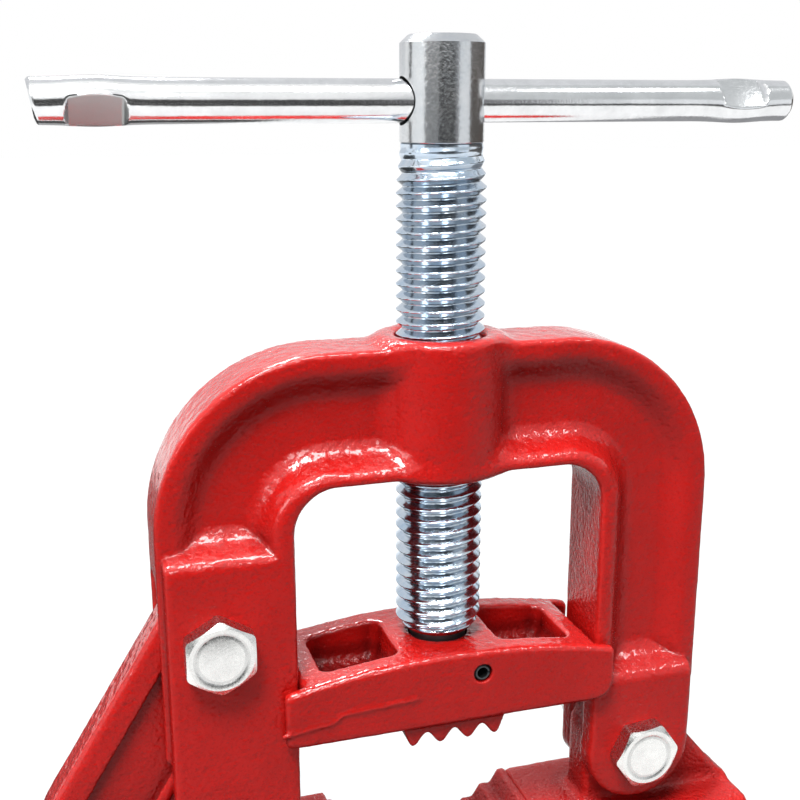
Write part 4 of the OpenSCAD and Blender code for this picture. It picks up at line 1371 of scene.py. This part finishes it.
def pale_floor():
    """Floor that looks white and still takes a shadow."""
    corners = level_corners(-FLOOR_HALF, FLOOR_HALF, -FLOOR_HALF, FLOOR_HALF, 0)
    floor = stage_panel("floor", corners, ONE_PANEL)
    made, tree, shader = finish_tree("pale_floor")
    shader.inputs["Base Color"].default_value = (FLOOR_GREY, FLOOR_GREY, FLOOR_GREY, 1)
    shader.inputs["Roughness"].default_value = 1.0
    away = node(tree, "VectorMath", {0: surface_place(tree)}, operation="LENGTH").outputs["Value"]
    glow = mapped(tree, away, FLOOR_GLOW_AT, FLOOR_GLOW)
    feed(tree, shader, {"Emission Strength": times(tree, straight_rays(tree), glow)})
    shader.inputs["Emission Color"].default_value = (*WHITE, 1)
    floor.data.materials.append(made)


def white_room():
    world = bpy.data.worlds.new("white_room")
    bpy.context.scene.world = world
    world.use_nodes = True
    tree = world.node_tree
    background = tree.nodes["Background"]
    level = mapped(tree, straight_rays(tree), (0.0, 1.0), (ROOM_LIGHT, 1.0))
    feed(tree, background, {"Strength": level})
    background.inputs["Color"].default_value = (*WHITE, 1)


def dress(piece, body, finish, slot, *nodes):
    """Gives a piece its finish, lets it ride on its body and stand for its solids."""
    piece.data.materials.append(finish)
    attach(piece, body)
    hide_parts(*nodes)


bpy.context.scene.view_settings.view_transform = "Standard"
camera()
white_room()
pale_floor()
for lamp in LAMPS:
    softbox(*lamp)
for name, *edges, colour, strength in LEVEL_CARDS:
    reflection_card(name, level_corners(*edges), ONE_PANEL, colour, strength)
for name, corners, colour in BENT_CARDS:
    reflection_card(name, corners, TWO_PANELS, colour)
for card in WALL_CARDS:
    wall_card(*card)

paint = red_paint("red_gloss_paint", grain=640.0, relief=0.6, gloss=0.95)
lumpy_coat(paint)
rough_paint = red_paint("red_rough_paint", grain=800.0, relief=1.0, gloss=0.2)
plate = zinc_plate("bright_zinc_plate", ZINC, ZINC_CLOUD, stretch=0.5, relief=0.25, rough=(0.12, 0.24))
bar_plate = zinc_plate("drawn_zinc_plate", BAR_ZINC, ZINC, stretch=0.8, relief=0.15, rough=(0.1, 0.18))
thread_plate = zinc_plate("thread_zinc_plate", THREAD_ZINC, THREAD_BLUE, stretch=0.2, relief=0.15,
                          rough=(0.1, 0.2))
bolt_plate = zinc_plate("bolt_zinc_plate", BOLT_ZINC, BOLT_CLOUD, stretch=0.2, relief=0.2, rough=(0.2, 0.36))
pin_black = black_oxide()
ring_nylon = nylon()

dress(pour("yoke_casting", yoke_field, *YOKE_GRID), "yoke_body", paint, "red_paint", "yoke")
dress(pour("base_casting", base_field, *BASE_GRID), "base_body", rough_paint, "red_paint", "base")
dress(pour("lower_jaw_casting", lower_jaw_field, *LOWER_JAW_GRID), "base_body", rough_paint,
      "red_paint", "lower_jaw")
dress(pour("latch_casting", latch_field, *LATCH_GRID), "latch_body", paint, "red_paint", "latch")
dress(pour("upper_jaw_casting", upper_jaw_field, *UPPER_JAW_GRID, nooks=jaw_pocket_shade), "jaw_body", paint,
      "red_paint", "upper_jaw")
screw = clamp_screw()
dress(screw, "screw_body", plate, "zinc_plate", "clamp_screw")
screw.data.materials.append(thread_plate)
# The neck below the thread takes the black finish, so it shows as a dark band where the screw meets the jaw
screw.data.materials.append(pin_black)
for face in screw.data.polygons:
    height = face.center.z
    face.material_index = 0 if height > HEAD_LOW_Z * MM else 1 if height > THREAD_LOW_Z * MM else 2
dress(handle_bar(), "handle_body", bar_plate, "zinc_plate", "handle_bar")
dress(jaw_pin(), "jaw_body", pin_black, "black_pin", "upper_jaw_pin")
dress(jaw_bolts(), "base_body", bolt_plate, "zinc_plate", "lower_jaw_bolts")
dress(jaw_washers(), "base_body", bolt_plate, "zinc_plate", "lower_jaw_washers")
for part, x, z, spin in (("hinge", HINGE_X, HINGE_Z, HINGE_SPIN), ("latch", LATCH_X, LATCH_Z, LATCH_SPIN)):
    body = "yoke_body"
    dress(pivot_bolt(part + "_bolt_plated", x, z, spin), body, bolt_plate, "zinc_plate", part + "_bolt")
    dress(pivot_washer(part + "_washer_plated", x, z), body, bolt_plate, "zinc_plate", part + "_washer")
    dress(pivot_nut(part + "_nut_plated", x, z), body, bolt_plate, "zinc_plate", part + "_nut")
    dress(pivot_ring(part + "_nut_ring_nylon", x, z), body, ring_nylon, "nylon", part + "_nut_ring")
